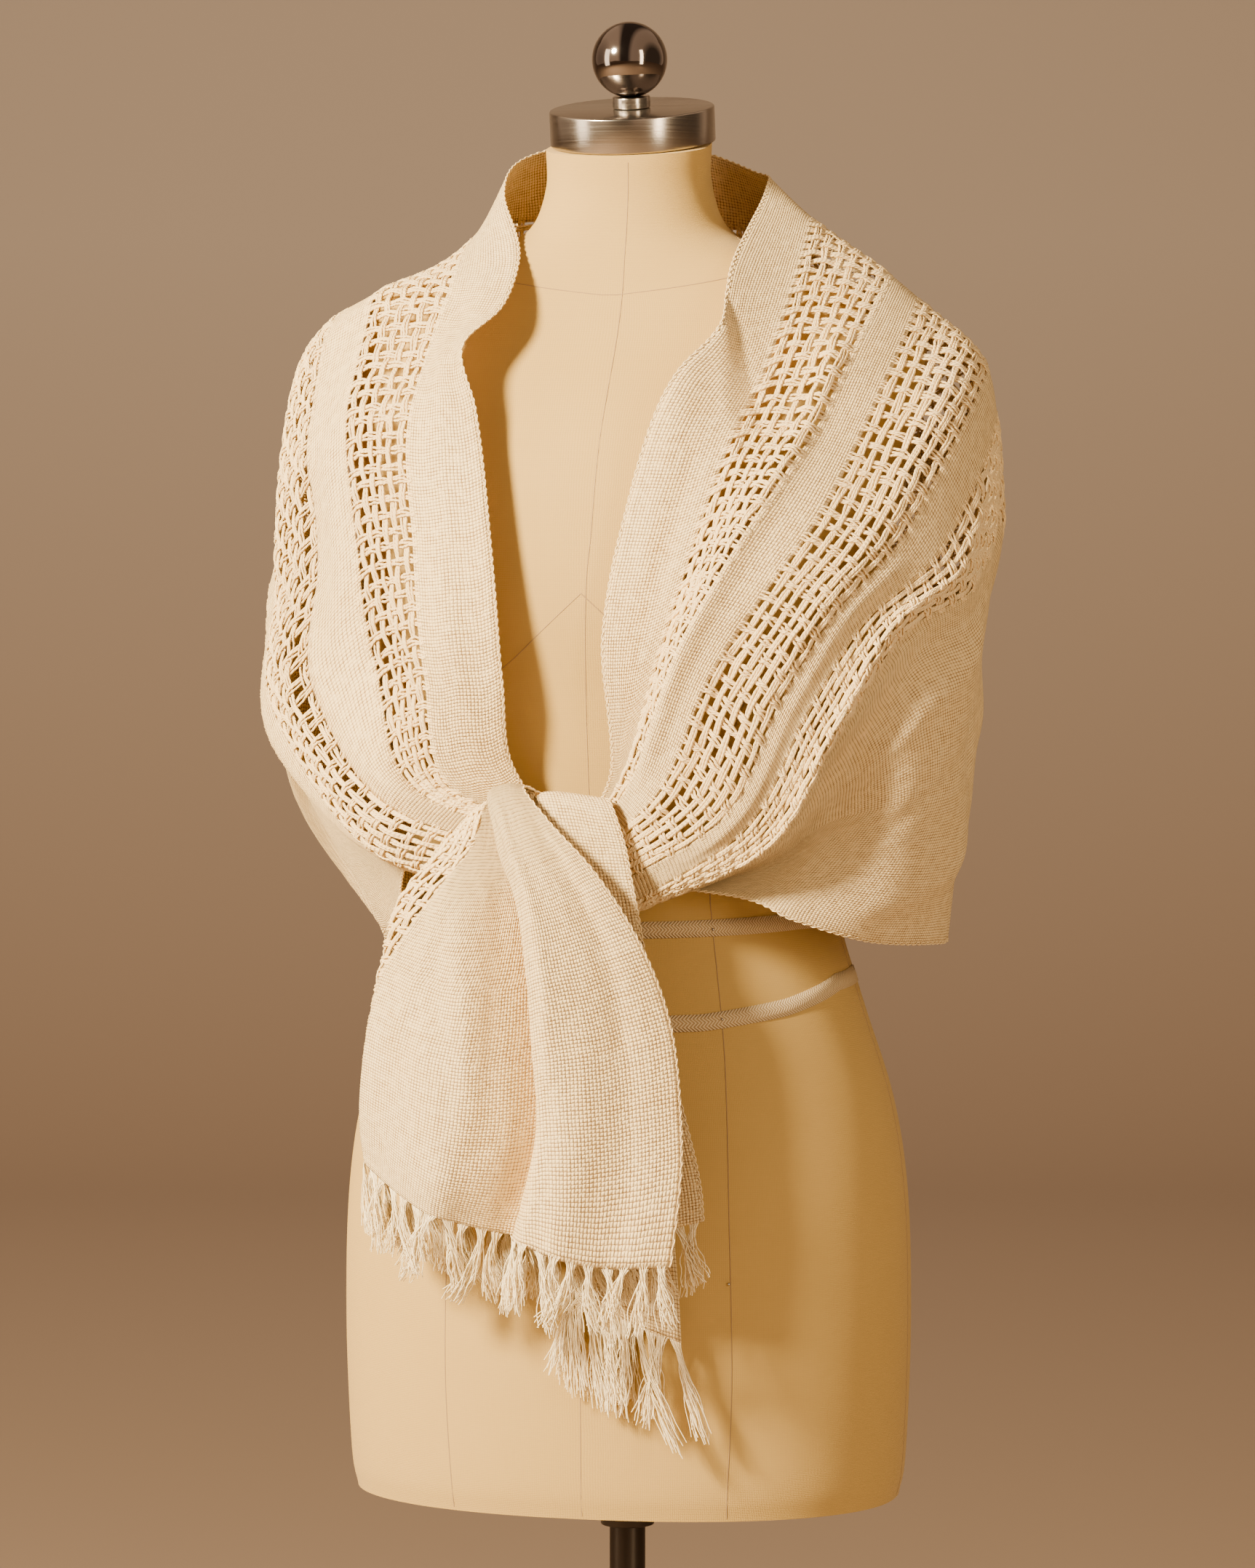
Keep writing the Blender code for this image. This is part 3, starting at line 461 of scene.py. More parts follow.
def spread(share, ratio):
    """How far along a line a share of its flat length lies; ratio is line length over flat length."""
    end = KNOT_SQUEEZE
    if ratio >= 1.0:
        return share * ratio
    if ratio <= (1.0 + end) / 2:
        start = max(2 * ratio - end, ratio)
        slow = min(end, ratio)
        return start * share + (slow - start) * share**2 / 2
    free = (ratio - (1.0 + end) / 2) / (1.0 - (1.0 + end) / 2)
    past = np.clip(share - free, 0, None)
    return share - (1.0 - end) * past**2 / (2 * (1.0 - free))


def even_lengths(chart):
    """For every flat length and width of the chart, the chart's own length that it lies at."""
    flats = np.linspace(0, WRAP_FLAT, len(chart.lengths))
    found = np.empty((len(flats), len(chart.widths)))
    right = flats < FLAT_CENTRE
    for column in range(len(chart.widths)):
        steps = np.linalg.norm(np.diff(chart.points[:, column], axis=0), axis=1)
        arc = np.concatenate(([0.0], np.cumsum(steps)))
        middle = np.interp(BACK_CENTRE, chart.lengths, arc)
        reach = FLAT_CENTRE * spread((FLAT_CENTRE - flats[right]) / FLAT_CENTRE, middle / FLAT_CENTRE)
        left_flat = WRAP_FLAT - FLAT_CENTRE
        left_arc = arc[-1] - middle
        onward = left_flat * spread((flats[~right] - FLAT_CENTRE) / left_flat, left_arc / left_flat)
        found[right, column] = np.interp(middle - reach, arc, chart.lengths)
        found[~right, column] = np.interp(middle + onward, arc, chart.lengths)
    return found


even_table = even_lengths(wrap_chart)
print("flat length of the wrap:", WRAP_FLAT)

# %% [markdown]
# The hanging end is spread in the same way, but across its width. It has two parts there: the
# front, from the hem's selvedge to the left lobe's edge, and the layer behind. Near the knot
# the cloth slides sideways, so the lace stripe nearest the hem crosses the top of the lobe and
# then runs round behind it. The rows below hold the flat width at the lobe's edge.

# %% Even spread of the tail
TAIL_FLAT = 276.0
CHART_EDGE = 250.0
FREE_STRIPE = 50.0
LOBE_EDGE = ((0, 312), (20, 312), (55, 308), (95, 285), (145, 250), (195, 240), (318, 238))


def even_widths(chart):
    """For every chart length and flat width, the chart's own width that it lies at."""
    edge_rows = np.array(LOBE_EDGE, float)
    found = np.empty((len(chart.lengths), len(chart.widths)))
    for row, length in enumerate(chart.lengths):
        steps = np.linalg.norm(np.diff(chart.points[row], axis=0), axis=1)
        arc = np.concatenate(([0.0], np.cumsum(steps)))
        edge_arc = np.interp(CHART_EDGE, chart.widths, arc)
        edge = np.interp(length, edge_rows[:, 0], edge_rows[:, 1])
        free = max(arc[-1] - FREE_STRIPE, edge_arc + 1.0)
        flat_stops = (0.0, edge, CLOTH_WIDTH - FREE_STRIPE, CLOTH_WIDTH)
        wanted = np.interp(chart.widths, flat_stops, (0.0, edge_arc, free, arc[-1]))
        found[row] = np.interp(wanted, arc, chart.widths)
    return found


def look_up(table, down, across):
    """Read a table between its rows and columns; both places run from 0 to 1."""
    i = np.clip(down, 0, 1) * (table.shape[0] - 1)
    j = np.clip(across, 0, 1) * (table.shape[1] - 1)
    i0 = np.minimum(i.astype(int), table.shape[0] - 2)
    j0 = np.minimum(j.astype(int), table.shape[1] - 2)
    a = i - i0
    b = j - j0
    low = table[i0, j0] * (1 - b) + table[i0, j0 + 1] * b
    high = table[i0 + 1, j0] * (1 - b) + table[i0 + 1, j0 + 1] * b
    return low * (1 - a) + high * a


def place_wrap(length, width, rise=0.0):
    length, width = np.broadcast_arrays(np.asarray(length, float), np.asarray(width, float))
    return wrap_chart.place(look_up(even_table, length / WRAP_FLAT, width / CLOTH_WIDTH), width, rise)


width_table = even_widths(tail_chart)


def place_tail(length, width, rise=0.0):
    length, width = np.broadcast_arrays(np.asarray(length, float), np.asarray(width, float))
    share = length / TAIL_FLAT
    return tail_chart.place(share * TAIL_LENGTH, look_up(width_table, share, width / CLOTH_WIDTH), rise)


def place_rear(length, width, rise=0.0):
    return rear_chart.place(length, width, rise)


print("flat length of the tail:", TAIL_FLAT)

# %% [markdown]
# ## Shared shader parts
# Several finishes need the same two effects: a soft mottling of colour, and a plain weave with
# its yarns going over and under. Each is a node group that is built once and placed where it is
# needed. A group gives back only masks, colours and heights.


# %% Node helpers
def new_group(name, inputs, outputs):
    tree = bpy.data.node_groups.new(name, "ShaderNodeTree")
    for label, kind, value in inputs:
        socket = tree.interface.new_socket(label, in_out="INPUT", socket_type=kind)
        if value is not None:
            socket.default_value = value
    for label, kind in outputs:
        tree.interface.new_socket(label, in_out="OUTPUT", socket_type=kind)
    return tree, tree.nodes.new("NodeGroupInput"), tree.nodes.new("NodeGroupOutput")


def math_node(tree, operation, first, second=None, third=None, clamp=False):
    node = tree.nodes.new("ShaderNodeMath")
    node.operation = operation
    node.use_clamp = clamp
    for slot, value in enumerate((first, second, third)):
        if value is None:
            continue
        if isinstance(value, (int, float)):
            node.inputs[slot].default_value = value
        else:
            tree.links.new(value, node.inputs[slot])
    return node.outputs[0]


def noise_node(tree, vector, scale, detail=2.0, rough=0.5):
    node = tree.nodes.new("ShaderNodeTexNoise")
    node.inputs["Scale"].default_value = scale
    node.inputs["Detail"].default_value = detail
    node.inputs["Roughness"].default_value = rough
    tree.links.new(vector, node.inputs["Vector"])
    return node.outputs["Fac"]


def mix_colour(tree, factor, first, second, blend="MIX"):
    node = tree.nodes.new("ShaderNodeMix")
    node.data_type = "RGBA"
    node.blend_type = blend
    node.clamp_factor = True
    colours = (node.inputs[6], node.inputs[7])
    for socket, value in zip((node.inputs[0],) + colours, (factor, first, second)):
        if hasattr(value, "is_linked"):
            tree.links.new(value, socket)
        else:
            socket.default_value = value
    return node.outputs[2]


# %% [markdown]
# ### Plain weave
# In a plain weave each yarn passes over one and under the next. Along the flat cloth that is a
# chequer of small humps, each one stretched along its own yarn, with a tiny hole where four of
# them meet. The UV map holds the flat cloth in metres, so the weave follows every fold.


# %% Weave group
def build_weave_group():
    inputs = (
        ("Vector", "NodeSocketVector", None),
        ("Pitch", "NodeSocketFloat", 0.002),
        ("Looseness", "NodeSocketFloat", 0.5),
    )
    outputs = (("Height", "NodeSocketFloat"), ("Hole", "NodeSocketFloat"), ("Yarn", "NodeSocketFloat"))
    tree, given, result = new_group("plain weave", inputs, outputs)
    warp = noise_node(tree, given.outputs["Vector"], 60.0, 3.0)
    offset = tree.nodes.new("ShaderNodeVectorMath")
    offset.operation = "MULTIPLY_ADD"
    offset.inputs[1].default_value = (0.0016, 0.0016, 0.0)
    joined = tree.nodes.new("ShaderNodeCombineXYZ")
    other = noise_node(tree, given.outputs["Vector"], 47.0, 3.0)
    tree.links.new(warp, joined.inputs[0])
    tree.links.new(other, joined.inputs[1])
    tree.links.new(joined.outputs[0], offset.inputs[0])
    tree.links.new(given.outputs["Vector"], offset.inputs[2])
    split = tree.nodes.new("ShaderNodeSeparateXYZ")
    tree.links.new(offset.outputs[0], split.inputs[0])
    turns = []
    for axis in range(2):
        turns.append(math_node(tree, "DIVIDE", split.outputs[axis], given.outputs["Pitch"]))
    cells = [math_node(tree, "FRACT", turn) for turn in turns]
    ridges = []
    for cell in cells:
        centred = math_node(tree, "SUBTRACT", cell, 0.5)
        ridges.append(math_node(tree, "COSINE", math_node(tree, "MULTIPLY", centred, math.pi)))
    chequer_x = math_node(tree, "FLOOR", turns[0])
    chequer_y = math_node(tree, "FLOOR", turns[1])
    both = math_node(tree, "ADD", chequer_x, chequer_y)
    odd = math_node(tree, "ABSOLUTE", math_node(tree, "MODULO", both, 2.0))
    even = math_node(tree, "SUBTRACT", 1.0, odd)
    along = math_node(tree, "POWER", ridges[0], 0.45)
    across = math_node(tree, "POWER", ridges[1], 0.45)
    hump_x = math_node(tree, "MULTIPLY", along, ridges[1])
    hump_y = math_node(tree, "MULTIPLY", across, ridges[0])
    chosen_x = math_node(tree, "MULTIPLY", hump_x, odd)
    chosen_y = math_node(tree, "MULTIPLY", hump_y, even)
    height = math_node(tree, "ADD", chosen_x, chosen_y)
    slubs = []
    for stretch in ((0.045, 1.0, 0.0), (1.0, 0.045, 0.0)):
        drawn = tree.nodes.new("ShaderNodeVectorMath")
        drawn.operation = "MULTIPLY"
        drawn.inputs[1].default_value = stretch
        tree.links.new(given.outputs["Vector"], drawn.inputs[0])
        slubs.append(noise_node(tree, drawn.outputs[0], 310.0, 1.5, 0.6))
    slub = math_node(tree, "MULTIPLY", math_node(tree, "ADD", slubs[0], slubs[1]), 0.5)
    corner = math_node(tree, "MULTIPLY", ridges[0], ridges[1])
    patchy = math_node(tree, "MULTIPLY_ADD", noise_node(tree, given.outputs["Vector"], 170.0, 2.0), 2.6, -0.75)
    size = math_node(tree, "MULTIPLY", patchy, 0.36, clamp=True)
    limit = math_node(tree, "MAXIMUM", math_node(tree, "MULTIPLY", given.outputs["Looseness"], size), 0.001)
    soft = math_node(tree, "SUBTRACT", 1.0, math_node(tree, "DIVIDE", corner, limit, clamp=True), clamp=True)
    opened = math_node(tree, "MULTIPLY", soft, 2.0, clamp=True)
    tree.links.new(height, result.inputs["Height"])
    tree.links.new(opened, result.inputs["Hole"])
    tree.links.new(slub, result.inputs["Yarn"])
    return tree


def build_mottle_group():
    inputs = (("Vector", "NodeSocketVector", None), ("Scale", "NodeSocketFloat", 8.0))
    tree, given, result = new_group("soft mottling", inputs, (("Mask", "NodeSocketFloat"),))
    broad = tree.nodes.new("ShaderNodeTexNoise")
    broad.inputs["Detail"].default_value = 3.0
    tree.links.new(given.outputs["Vector"], broad.inputs["Vector"])
    tree.links.new(given.outputs["Scale"], broad.inputs["Scale"])
    fine = tree.nodes.new("ShaderNodeTexNoise")
    fine.inputs["Detail"].default_value = 2.0
    tree.links.new(given.outputs["Vector"], fine.inputs["Vector"])
    tree.links.new(math_node(tree, "MULTIPLY", given.outputs["Scale"], 7.0), fine.inputs["Scale"])
    mask = math_node(tree, "MULTIPLY_ADD", fine.outputs["Fac"], 0.4, math_node(tree, "MULTIPLY", broad.outputs["Fac"], 0.6))
    tree.links.new(mask, result.inputs["Mask"])
    return tree


weave_group = build_weave_group()
mottle_group = build_mottle_group()
print("groups:", weave_group.name, "and", mottle_group.name)


# %% Material helper
def start_material(name, colour, roughness, metallic=0.0):
    material = bpy.data.materials.new(name)
    material.use_nodes = True
    tree = material.node_tree
    shader = tree.nodes["Principled BSDF"]
    shader.inputs["Base Color"].default_value = (*colour, 1.0)
    shader.inputs["Roughness"].default_value = roughness
    shader.inputs["Metallic"].default_value = metallic
    material.diffuse_color = (*colour, 1.0)
    return material, tree, shader


def place_group(tree, group, vector, **values):
    node = tree.nodes.new("ShaderNodeGroup")
    node.node_tree = group
    tree.links.new(vector, node.inputs["Vector"])
    for label, value in values.items():
        node.inputs[label].default_value = value
    return node


def bump_into(tree, shader, height, strength, distance, previous=None):
    bump = tree.nodes.new("ShaderNodeBump")
    bump.inputs["Strength"].default_value = strength
    bump.inputs["Distance"].default_value = distance
    tree.links.new(height, bump.inputs["Height"])
    if previous is not None:
        tree.links.new(previous, bump.inputs["Normal"])
    tree.links.new(bump.outputs["Normal"], shader.inputs["Normal"])
    return bump.outputs["Normal"]


# %% [markdown]
# ### Cotton cloth
# The plain stripes are loose undyed cotton: warm cream, matte, with a slub here and there. Its
# small pinholes and the low parts of its weave are painted darker, as painted shade. Light that
# grazes it is caught by its nap, which sheen gives.

# %% Cotton materials
CREAM = (0.93, 0.685, 0.32)
# The darker cream is painted shade, put in the lows of the weave and the grooves between plies.
CREAM_PAINTED_SHADE = (0.66, 0.41, 0.16)
CREAM_PALE = (0.97, 0.785, 0.45)
SHEEN_TINT = (1.0, 0.80, 0.50, 1.0)
HOLE_SHADE = (0.30, 0.165, 0.06)
WEAVE_PITCH = 0.00205
PLY_TURN = 0.0055


def make_cloth(name, looseness):
    material, tree, shader = start_material(name, CREAM, 0.86)
    coordinates = tree.nodes.new("ShaderNodeTexCoord")
    flat = coordinates.outputs["UV"]
    solid = coordinates.outputs["Object"]
    weave = place_group(tree, weave_group, flat, Pitch=WEAVE_PITCH, Looseness=looseness)
    mottle = place_group(tree, mottle_group, solid, Scale=9.0)
    base = mix_colour(tree, mottle.outputs["Mask"], (*CREAM, 1.0), (*CREAM_PALE, 1.0))
    # Painted shade: the low parts of the weave, where each yarn dips under the next, are mixed darker.
    low = math_node(tree, "SUBTRACT", 1.0, weave.outputs["Height"], clamp=True)
    base = mix_colour(tree, math_node(tree, "MULTIPLY", low, 0.36), base, (*CREAM_PAINTED_SHADE, 1.0))
    thick = math_node(tree, "MULTIPLY_ADD", weave.outputs["Yarn"], 5.0, -2.2, clamp=True)
    base = mix_colour(tree, math_node(tree, "MULTIPLY", thick, 0.45), base, (*CREAM_PALE, 1.0))
    # Painted shade: the pinholes are mixed towards a dark brown, for the shade seen through them.
    pinhole = math_node(tree, "MULTIPLY", weave.outputs["Hole"], 0.95)
    base = mix_colour(tree, pinhole, base, (*HOLE_SHADE, 1.0))
    tree.links.new(base, shader.inputs["Base Color"])
    height = math_node(tree, "MULTIPLY_ADD", weave.outputs["Yarn"], 1.4, weave.outputs["Height"])
    bump_into(tree, shader, height, 1.0, 0.0006)
    shader.inputs["Sheen Weight"].default_value = 0.18
    shader.inputs["Sheen Tint"].default_value = SHEEN_TINT
    shader.inputs["Sheen Roughness"].default_value = 0.5
    return material


def make_yarn(name, colour, pale, groove_shade, depth):
    material, tree, shader = start_material(name, colour, 0.8)
    coordinates = tree.nodes.new("ShaderNodeTexCoord")
    solid = coordinates.outputs["Object"]
    mottle = place_group(tree, mottle_group, solid, Scale=30.0)
    fibre = noise_node(tree, solid, 1400.0, 3.0, 0.7)
    split = tree.nodes.new("ShaderNodeSeparateXYZ")
    tree.links.new(coordinates.outputs["UV"], split.inputs[0])
    turn = math_node(tree, "MULTIPLY_ADD", split.outputs[0], 1 / PLY_TURN, split.outputs[1])
    ply = math_node(tree, "ABSOLUTE", math_node(tree, "COSINE", math_node(tree, "MULTIPLY", turn, 2 * math.pi)))
    # Painted shade: the grooves between the plies are mixed towards the darker shaded cream.
    groove = math_node(tree, "SUBTRACT", 1.0, ply, clamp=True)
    base = mix_colour(tree, mottle.outputs["Mask"], (*colour, 1.0), (*pale, 1.0))
    base = mix_colour(tree, math_node(tree, "MULTIPLY", groove, groove_shade), base, (*CREAM_PAINTED_SHADE, 1.0))
    tree.links.new(base, shader.inputs["Base Color"])
    height = math_node(tree, "MULTIPLY_ADD", fibre, 0.6, ply)
    bump_into(tree, shader, height, 0.8, depth)
    shader.inputs["Sheen Weight"].default_value = 0.18
    shader.inputs["Sheen Tint"].default_value = SHEEN_TINT
    shader.inputs["Sheen Roughness"].default_value = 0.45
    return material


cloth_material = make_cloth("plain cotton", 0.85)
lace_material = make_yarn("lace yarn", (0.92, 0.69, 0.35), (0.97, 0.79, 0.47), 0.45, 0.0004)
fringe_material = make_yarn("fringe yarn", (0.99, 0.82, 0.50), (1.0, 0.91, 0.66), 0.22, 0.00006)
print("cotton finishes made")


# %% [markdown]
# ## Mesh helpers
# A sheet starts as a flat grid whose points are then moved onto the chart, and the flat places
# are kept as its UV map. A bundle of yarns starts as a curve with a round bevel, one spline for
# each yarn, and is then turned into one joined mesh.


# %% Mesh helpers
YARN_SIDES = 4


def finish_piece(name, mesh, material, node_names=(), smooth=True):
    piece = bpy.data.objects.new(name, mesh)
    bpy.context.scene.collection.objects.link(piece)
    if not mesh.materials:
        mesh.materials.append(material)
    if smooth:
        mesh.shade_smooth()
    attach(piece, "root")
    if node_names:
        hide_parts(*node_names)
    return piece


def add_panel(bm, uv_layer, place, start, end, low, high, step):
    """A stretch of plain cloth between two lengths and two widths."""
    columns = max(2, int(round((end - start) / step)))
    rows = max(2, int(round((high - low) / step)))
    made = bmesh.ops.create_grid(bm, x_segments=columns, y_segments=rows, size=0.5)
    verts = made["verts"]
    lengths = np.array([start + (vert.co.x + 0.5) * (end - start) for vert in verts])
    widths = np.array([low + (vert.co.y + 0.5) * (high - low) for vert in verts])
    places = place(lengths, widths)
    flat = {}
    for vert, spot, length, width in zip(verts, places, lengths, widths):
        vert.co = spot
        flat[vert] = (length * MM, width * MM)
    for face in {face for vert in verts for face in vert.link_faces}:
        for loop in face.loops:
            loop[uv_layer].uv = flat[loop.vert]


def make_sheet(name, place, panels, step, thickness, material, node_names):
    bm = bmesh.new()
    uv_layer = bm.loops.layers.uv.new("flat cloth")
    for start, end, low, high in panels:
        add_panel(bm, uv_layer, place, start, end, low, high, step)
    mesh = bpy.data.meshes.new(name)
    bm.to_mesh(mesh)
    bm.free()
    piece = finish_piece(name, mesh, material, node_names)
    wall = piece.modifiers.new("thickness", "SOLIDIFY")
    wall.thickness = thickness * MM
    wall.offset = 0.0
    return piece


def measure_yarns(mesh, paths):
    """Stretch each yarn's UV map along it to metres, so its twist is even; the ends come first."""
    layer = mesh.uv_layers[0].uv
    places = np.empty(len(mesh.loops) * 2, np.float32)
    layer.foreach_get("vector", places)
    places = places.reshape(-1, 2)
    reach = [np.linalg.norm(np.diff(path, axis=0), axis=1).sum() for path in paths]
    loops = [(len(path) - 1) * 4 * YARN_SIDES for path in paths]
    places[len(places) - sum(loops):, 0] *= np.repeat(reach, loops)
    layer.foreach_set("vector", places.ravel())


def make_yarns(name, paths, diameter, material):
    """One joined mesh of round yarns; each path is an array of points in metres."""
    curve = bpy.data.curves.new(name, "CURVE")
    curve.dimensions = "3D"
    curve.bevel_depth = diameter / 2 * MM
    curve.bevel_resolution = YARN_SIDES // 2 - 2
    curve.use_fill_caps = True
    for path in paths:
        spline = curve.splines.new("POLY")
        spline.points.add(len(path) - 1)
        with_weight = np.ones((len(path), 4), np.float32)
        with_weight[:, :3] = path
        spline.points.foreach_set("co", with_weight.ravel())
    holder = bpy.data.objects.new(name + "_curve", curve)
    bpy.context.scene.collection.objects.link(holder)
    depsgraph = bpy.context.evaluated_depsgraph_get()
    mesh = bpy.data.meshes.new_from_object(holder.evaluated_get(depsgraph))
    bpy.data.objects.remove(holder)
    bpy.data.curves.remove(curve)
    measure_yarns(mesh, paths)
    piece = finish_piece(name, mesh, material)
    return piece


def triangles(piece):
    piece.data.calc_loop_triangles()
    return len(piece.data.loop_triangles)


# %% [markdown]
# ## Plain stripes
# The plain stripes are thin shells between the lace. One sheet holds all four stripes of the
# wrap, because they are one cloth; each keeps its place on the chart.

# %% Plain cloth
PLAIN_STRIPES = ((0, 50), (110, 145), (210, 245), (305, 555))
LACE_STRIPES = ((50, 110), (145, 210), (245, 305))
CLOTH_THICKNESS = 0.7

wrap_panels = [(0, WRAP_FLAT, low, high) for low, high in PLAIN_STRIPES]
wrap_cloth = make_sheet(
    "wrap_cloth", place_wrap, wrap_panels, 4.5, CLOTH_THICKNESS, cloth_material,
    ("shawl_right_front", "shawl_back", "shawl_left_front"),
)
tail_panels = [(0, TAIL_FLAT, CLOTH_WIDTH - high, CLOTH_WIDTH - low) for low, high in PLAIN_STRIPES]
tail_cloth = make_sheet("tail_cloth", place_tail, tail_panels, 3.5, CLOTH_THICKNESS, cloth_material, ("front_tail",))
rear_cloth = make_sheet(
    "rear_cloth", place_rear, [(0, REAR_LENGTH, 0, REAR_LINES[-1])], 5.0, CLOTH_THICKNESS, cloth_material, ("rear_tail",)
)
print("plain cloth faces:", len(wrap_cloth.data.polygons), len(tail_cloth.data.polygons))

# %% [markdown]
# ## Lace stripes
# The open stripes are real yarns here. They run in bundles of three, about a centimetre apart
# both ways, and the bundles go over and under each other like a coarse weave. Every yarn is a
# path over the flat cloth that rises and dips as it crosses, then it is laid on the chart.

# %% Lace yarns
LACE_PITCH = 9.6
YARN_DIAMETER = 1.75
YARN_SPACING = 1.58
BUNDLE_YARNS = 3
CROSSING_RISE = 0.85
POINTS_PER_CELL = 3
TUCK = 4.0


def wander(index, spot, amount):
    """A small smooth sideways drift that differs from yarn to yarn."""
    return amount * (np.sin(spot * 0.11 + index * 2.1) + 0.6 * np.sin(spot * 0.29 + index * 1.3)) / 1.6


def lace_paths(place, start, end, low, high, seed):
    """Yarn paths, in metres, of one lace stripe between two lengths."""
    rows = int(round((high - low) / LACE_PITCH))
    row_pitch = (high - low) / rows
    cells = int(round((end - start) / LACE_PITCH))
    cell_pitch = (end - start) / cells
    paths = []
    middle = (BUNDLE_YARNS - 1) / 2
    lengths = np.linspace(start, end, cells * POINTS_PER_CELL + 1)
    for row in range(rows):
        centre = low + (row + 0.5) * row_pitch
        for yarn in range(BUNDLE_YARNS):
            aside = (yarn - middle) * YARN_SPACING
            phase = (lengths - start) / cell_pitch - 0.5
            crowd = 1.0 - 0.12 * np.cos(2 * math.pi * phase)
            width = centre + aside * crowd + wander(seed + row * 3 + yarn, lengths, 0.75)
            width = width + wander(seed * 3.7 + row, lengths * 0.6, 1.1)
            rise = CROSSING_RISE * np.cos(math.pi * (phase + row))
            paths.append(place(lengths, width, rise))
    widths = np.linspace(low - TUCK, high + TUCK, (rows + 1) * POINTS_PER_CELL + 1)
    for cell in range(cells):
        centre = start + (cell + 0.5) * cell_pitch
        for yarn in range(BUNDLE_YARNS):
            aside = (yarn - middle) * YARN_SPACING
            phase = (widths - low) / row_pitch - 0.5
            crowd = 1.0 - 0.12 * np.cos(2 * math.pi * phase)
            length = centre + aside * crowd + wander(seed + cell * 3 + yarn, widths * 2.0, 0.75)
            length = length + 1.2 * math.sin(cell * 2.3 + seed) * math.sin(cell * 0.7)
            rise = -CROSSING_RISE * np.cos(math.pi * (phase + cell))
            inside = np.clip(np.minimum(widths - low, high - widths) / 3.0, 0, 1)
            length = np.clip(length, 0.2, end - 0.2)
            paths.append(place(length, np.clip(widths, 0.5, CLOTH_WIDTH - 0.5), rise * inside))
    return paths


for number, (low, high) in enumerate(LACE_STRIPES, 1):
    paths = lace_paths(place_wrap, 0, WRAP_FLAT, low, high, number * 17)
    piece = make_yarns("wrap_lace_%d" % number, paths, YARN_DIAMETER, lace_material)
    print(piece.name, "yarns:", len(paths), "triangles:", triangles(piece))

tail_paths = []
for number, (low, high) in enumerate(LACE_STRIPES, 1):
    tail_paths += lace_paths(place_tail, 0, TAIL_FLAT, CLOTH_WIDTH - high, CLOTH_WIDTH - low, number * 23)
tail_lace = make_yarns("tail_lace", tail_paths, YARN_DIAMETER, lace_material)
print("tail lace triangles:", triangles(tail_lace))

# %% [markdown]
# ## Selvedges
# Where the weft turns back at each long edge, it leaves a row of small loops. A yarn that rides
# in shallow scallops along the edge gives that soft, slightly bumpy line.

# %% Selvedges
SCALLOP_PITCH = 5.2
SCALLOP = 0.8


def selvedge(place, length_end, width, outward, strands=2):
    lengths = np.arange(0, length_end, 1.3)
    paths = []
    for strand in range(strands):
        bump = np.abs(np.sin(math.pi * lengths / SCALLOP_PITCH + strand * 0.7))
        offset = outward * (SCALLOP * bump - 0.3 - 0.8 * strand)
        rise = 0.35 * np.sin(2 * math.pi * lengths / SCALLOP_PITCH + strand * math.pi)
        inner = np.full_like(lengths, width)
        base = place(lengths, inner, rise)
        inside = place(lengths, inner - outward * 2.5, rise)
        away = (base - inside) / np.maximum(np.linalg.norm(base - inside, axis=1, keepdims=True), 1e-9)
        paths.append(base + away * (outward * offset * MM)[:, None])
    return paths


edge_paths = selvedge(place_wrap, WRAP_FLAT, 0.0, -1) + selvedge(place_wrap, WRAP_FLAT, CLOTH_WIDTH, 1)
edge_paths += selvedge(place_tail, TAIL_FLAT, 0.0, -1) + selvedge(place_tail, TAIL_FLAT, CLOTH_WIDTH, 1)
edges = make_yarns("selvedges", edge_paths, 1.1, lace_material)
print("selvedge triangles:", triangles(edges))

# %% [markdown]
# ## Fringe
# At each short end the warp yarns are left long and twisted into locks. Each lock here is a
# loose twist of thin plies that opens towards its cut end, and no two have the same length.

# %% Fringe
LOCK_PITCH = 10.6
LOCK_LENGTH = 40.0
REAR_LOCK_PITCH = 8.2
REAR_LOCK_LENGTH = 56.0
PLIES = 22
PLY_DIAMETER = 0.6
PLY_POINTS = 14
ROOT_HALF = 4.2
NECK_RADIUS = 1.7
BODY_RADIUS = 4.9
SPLAY = 3.2
CRIMP = 0.45


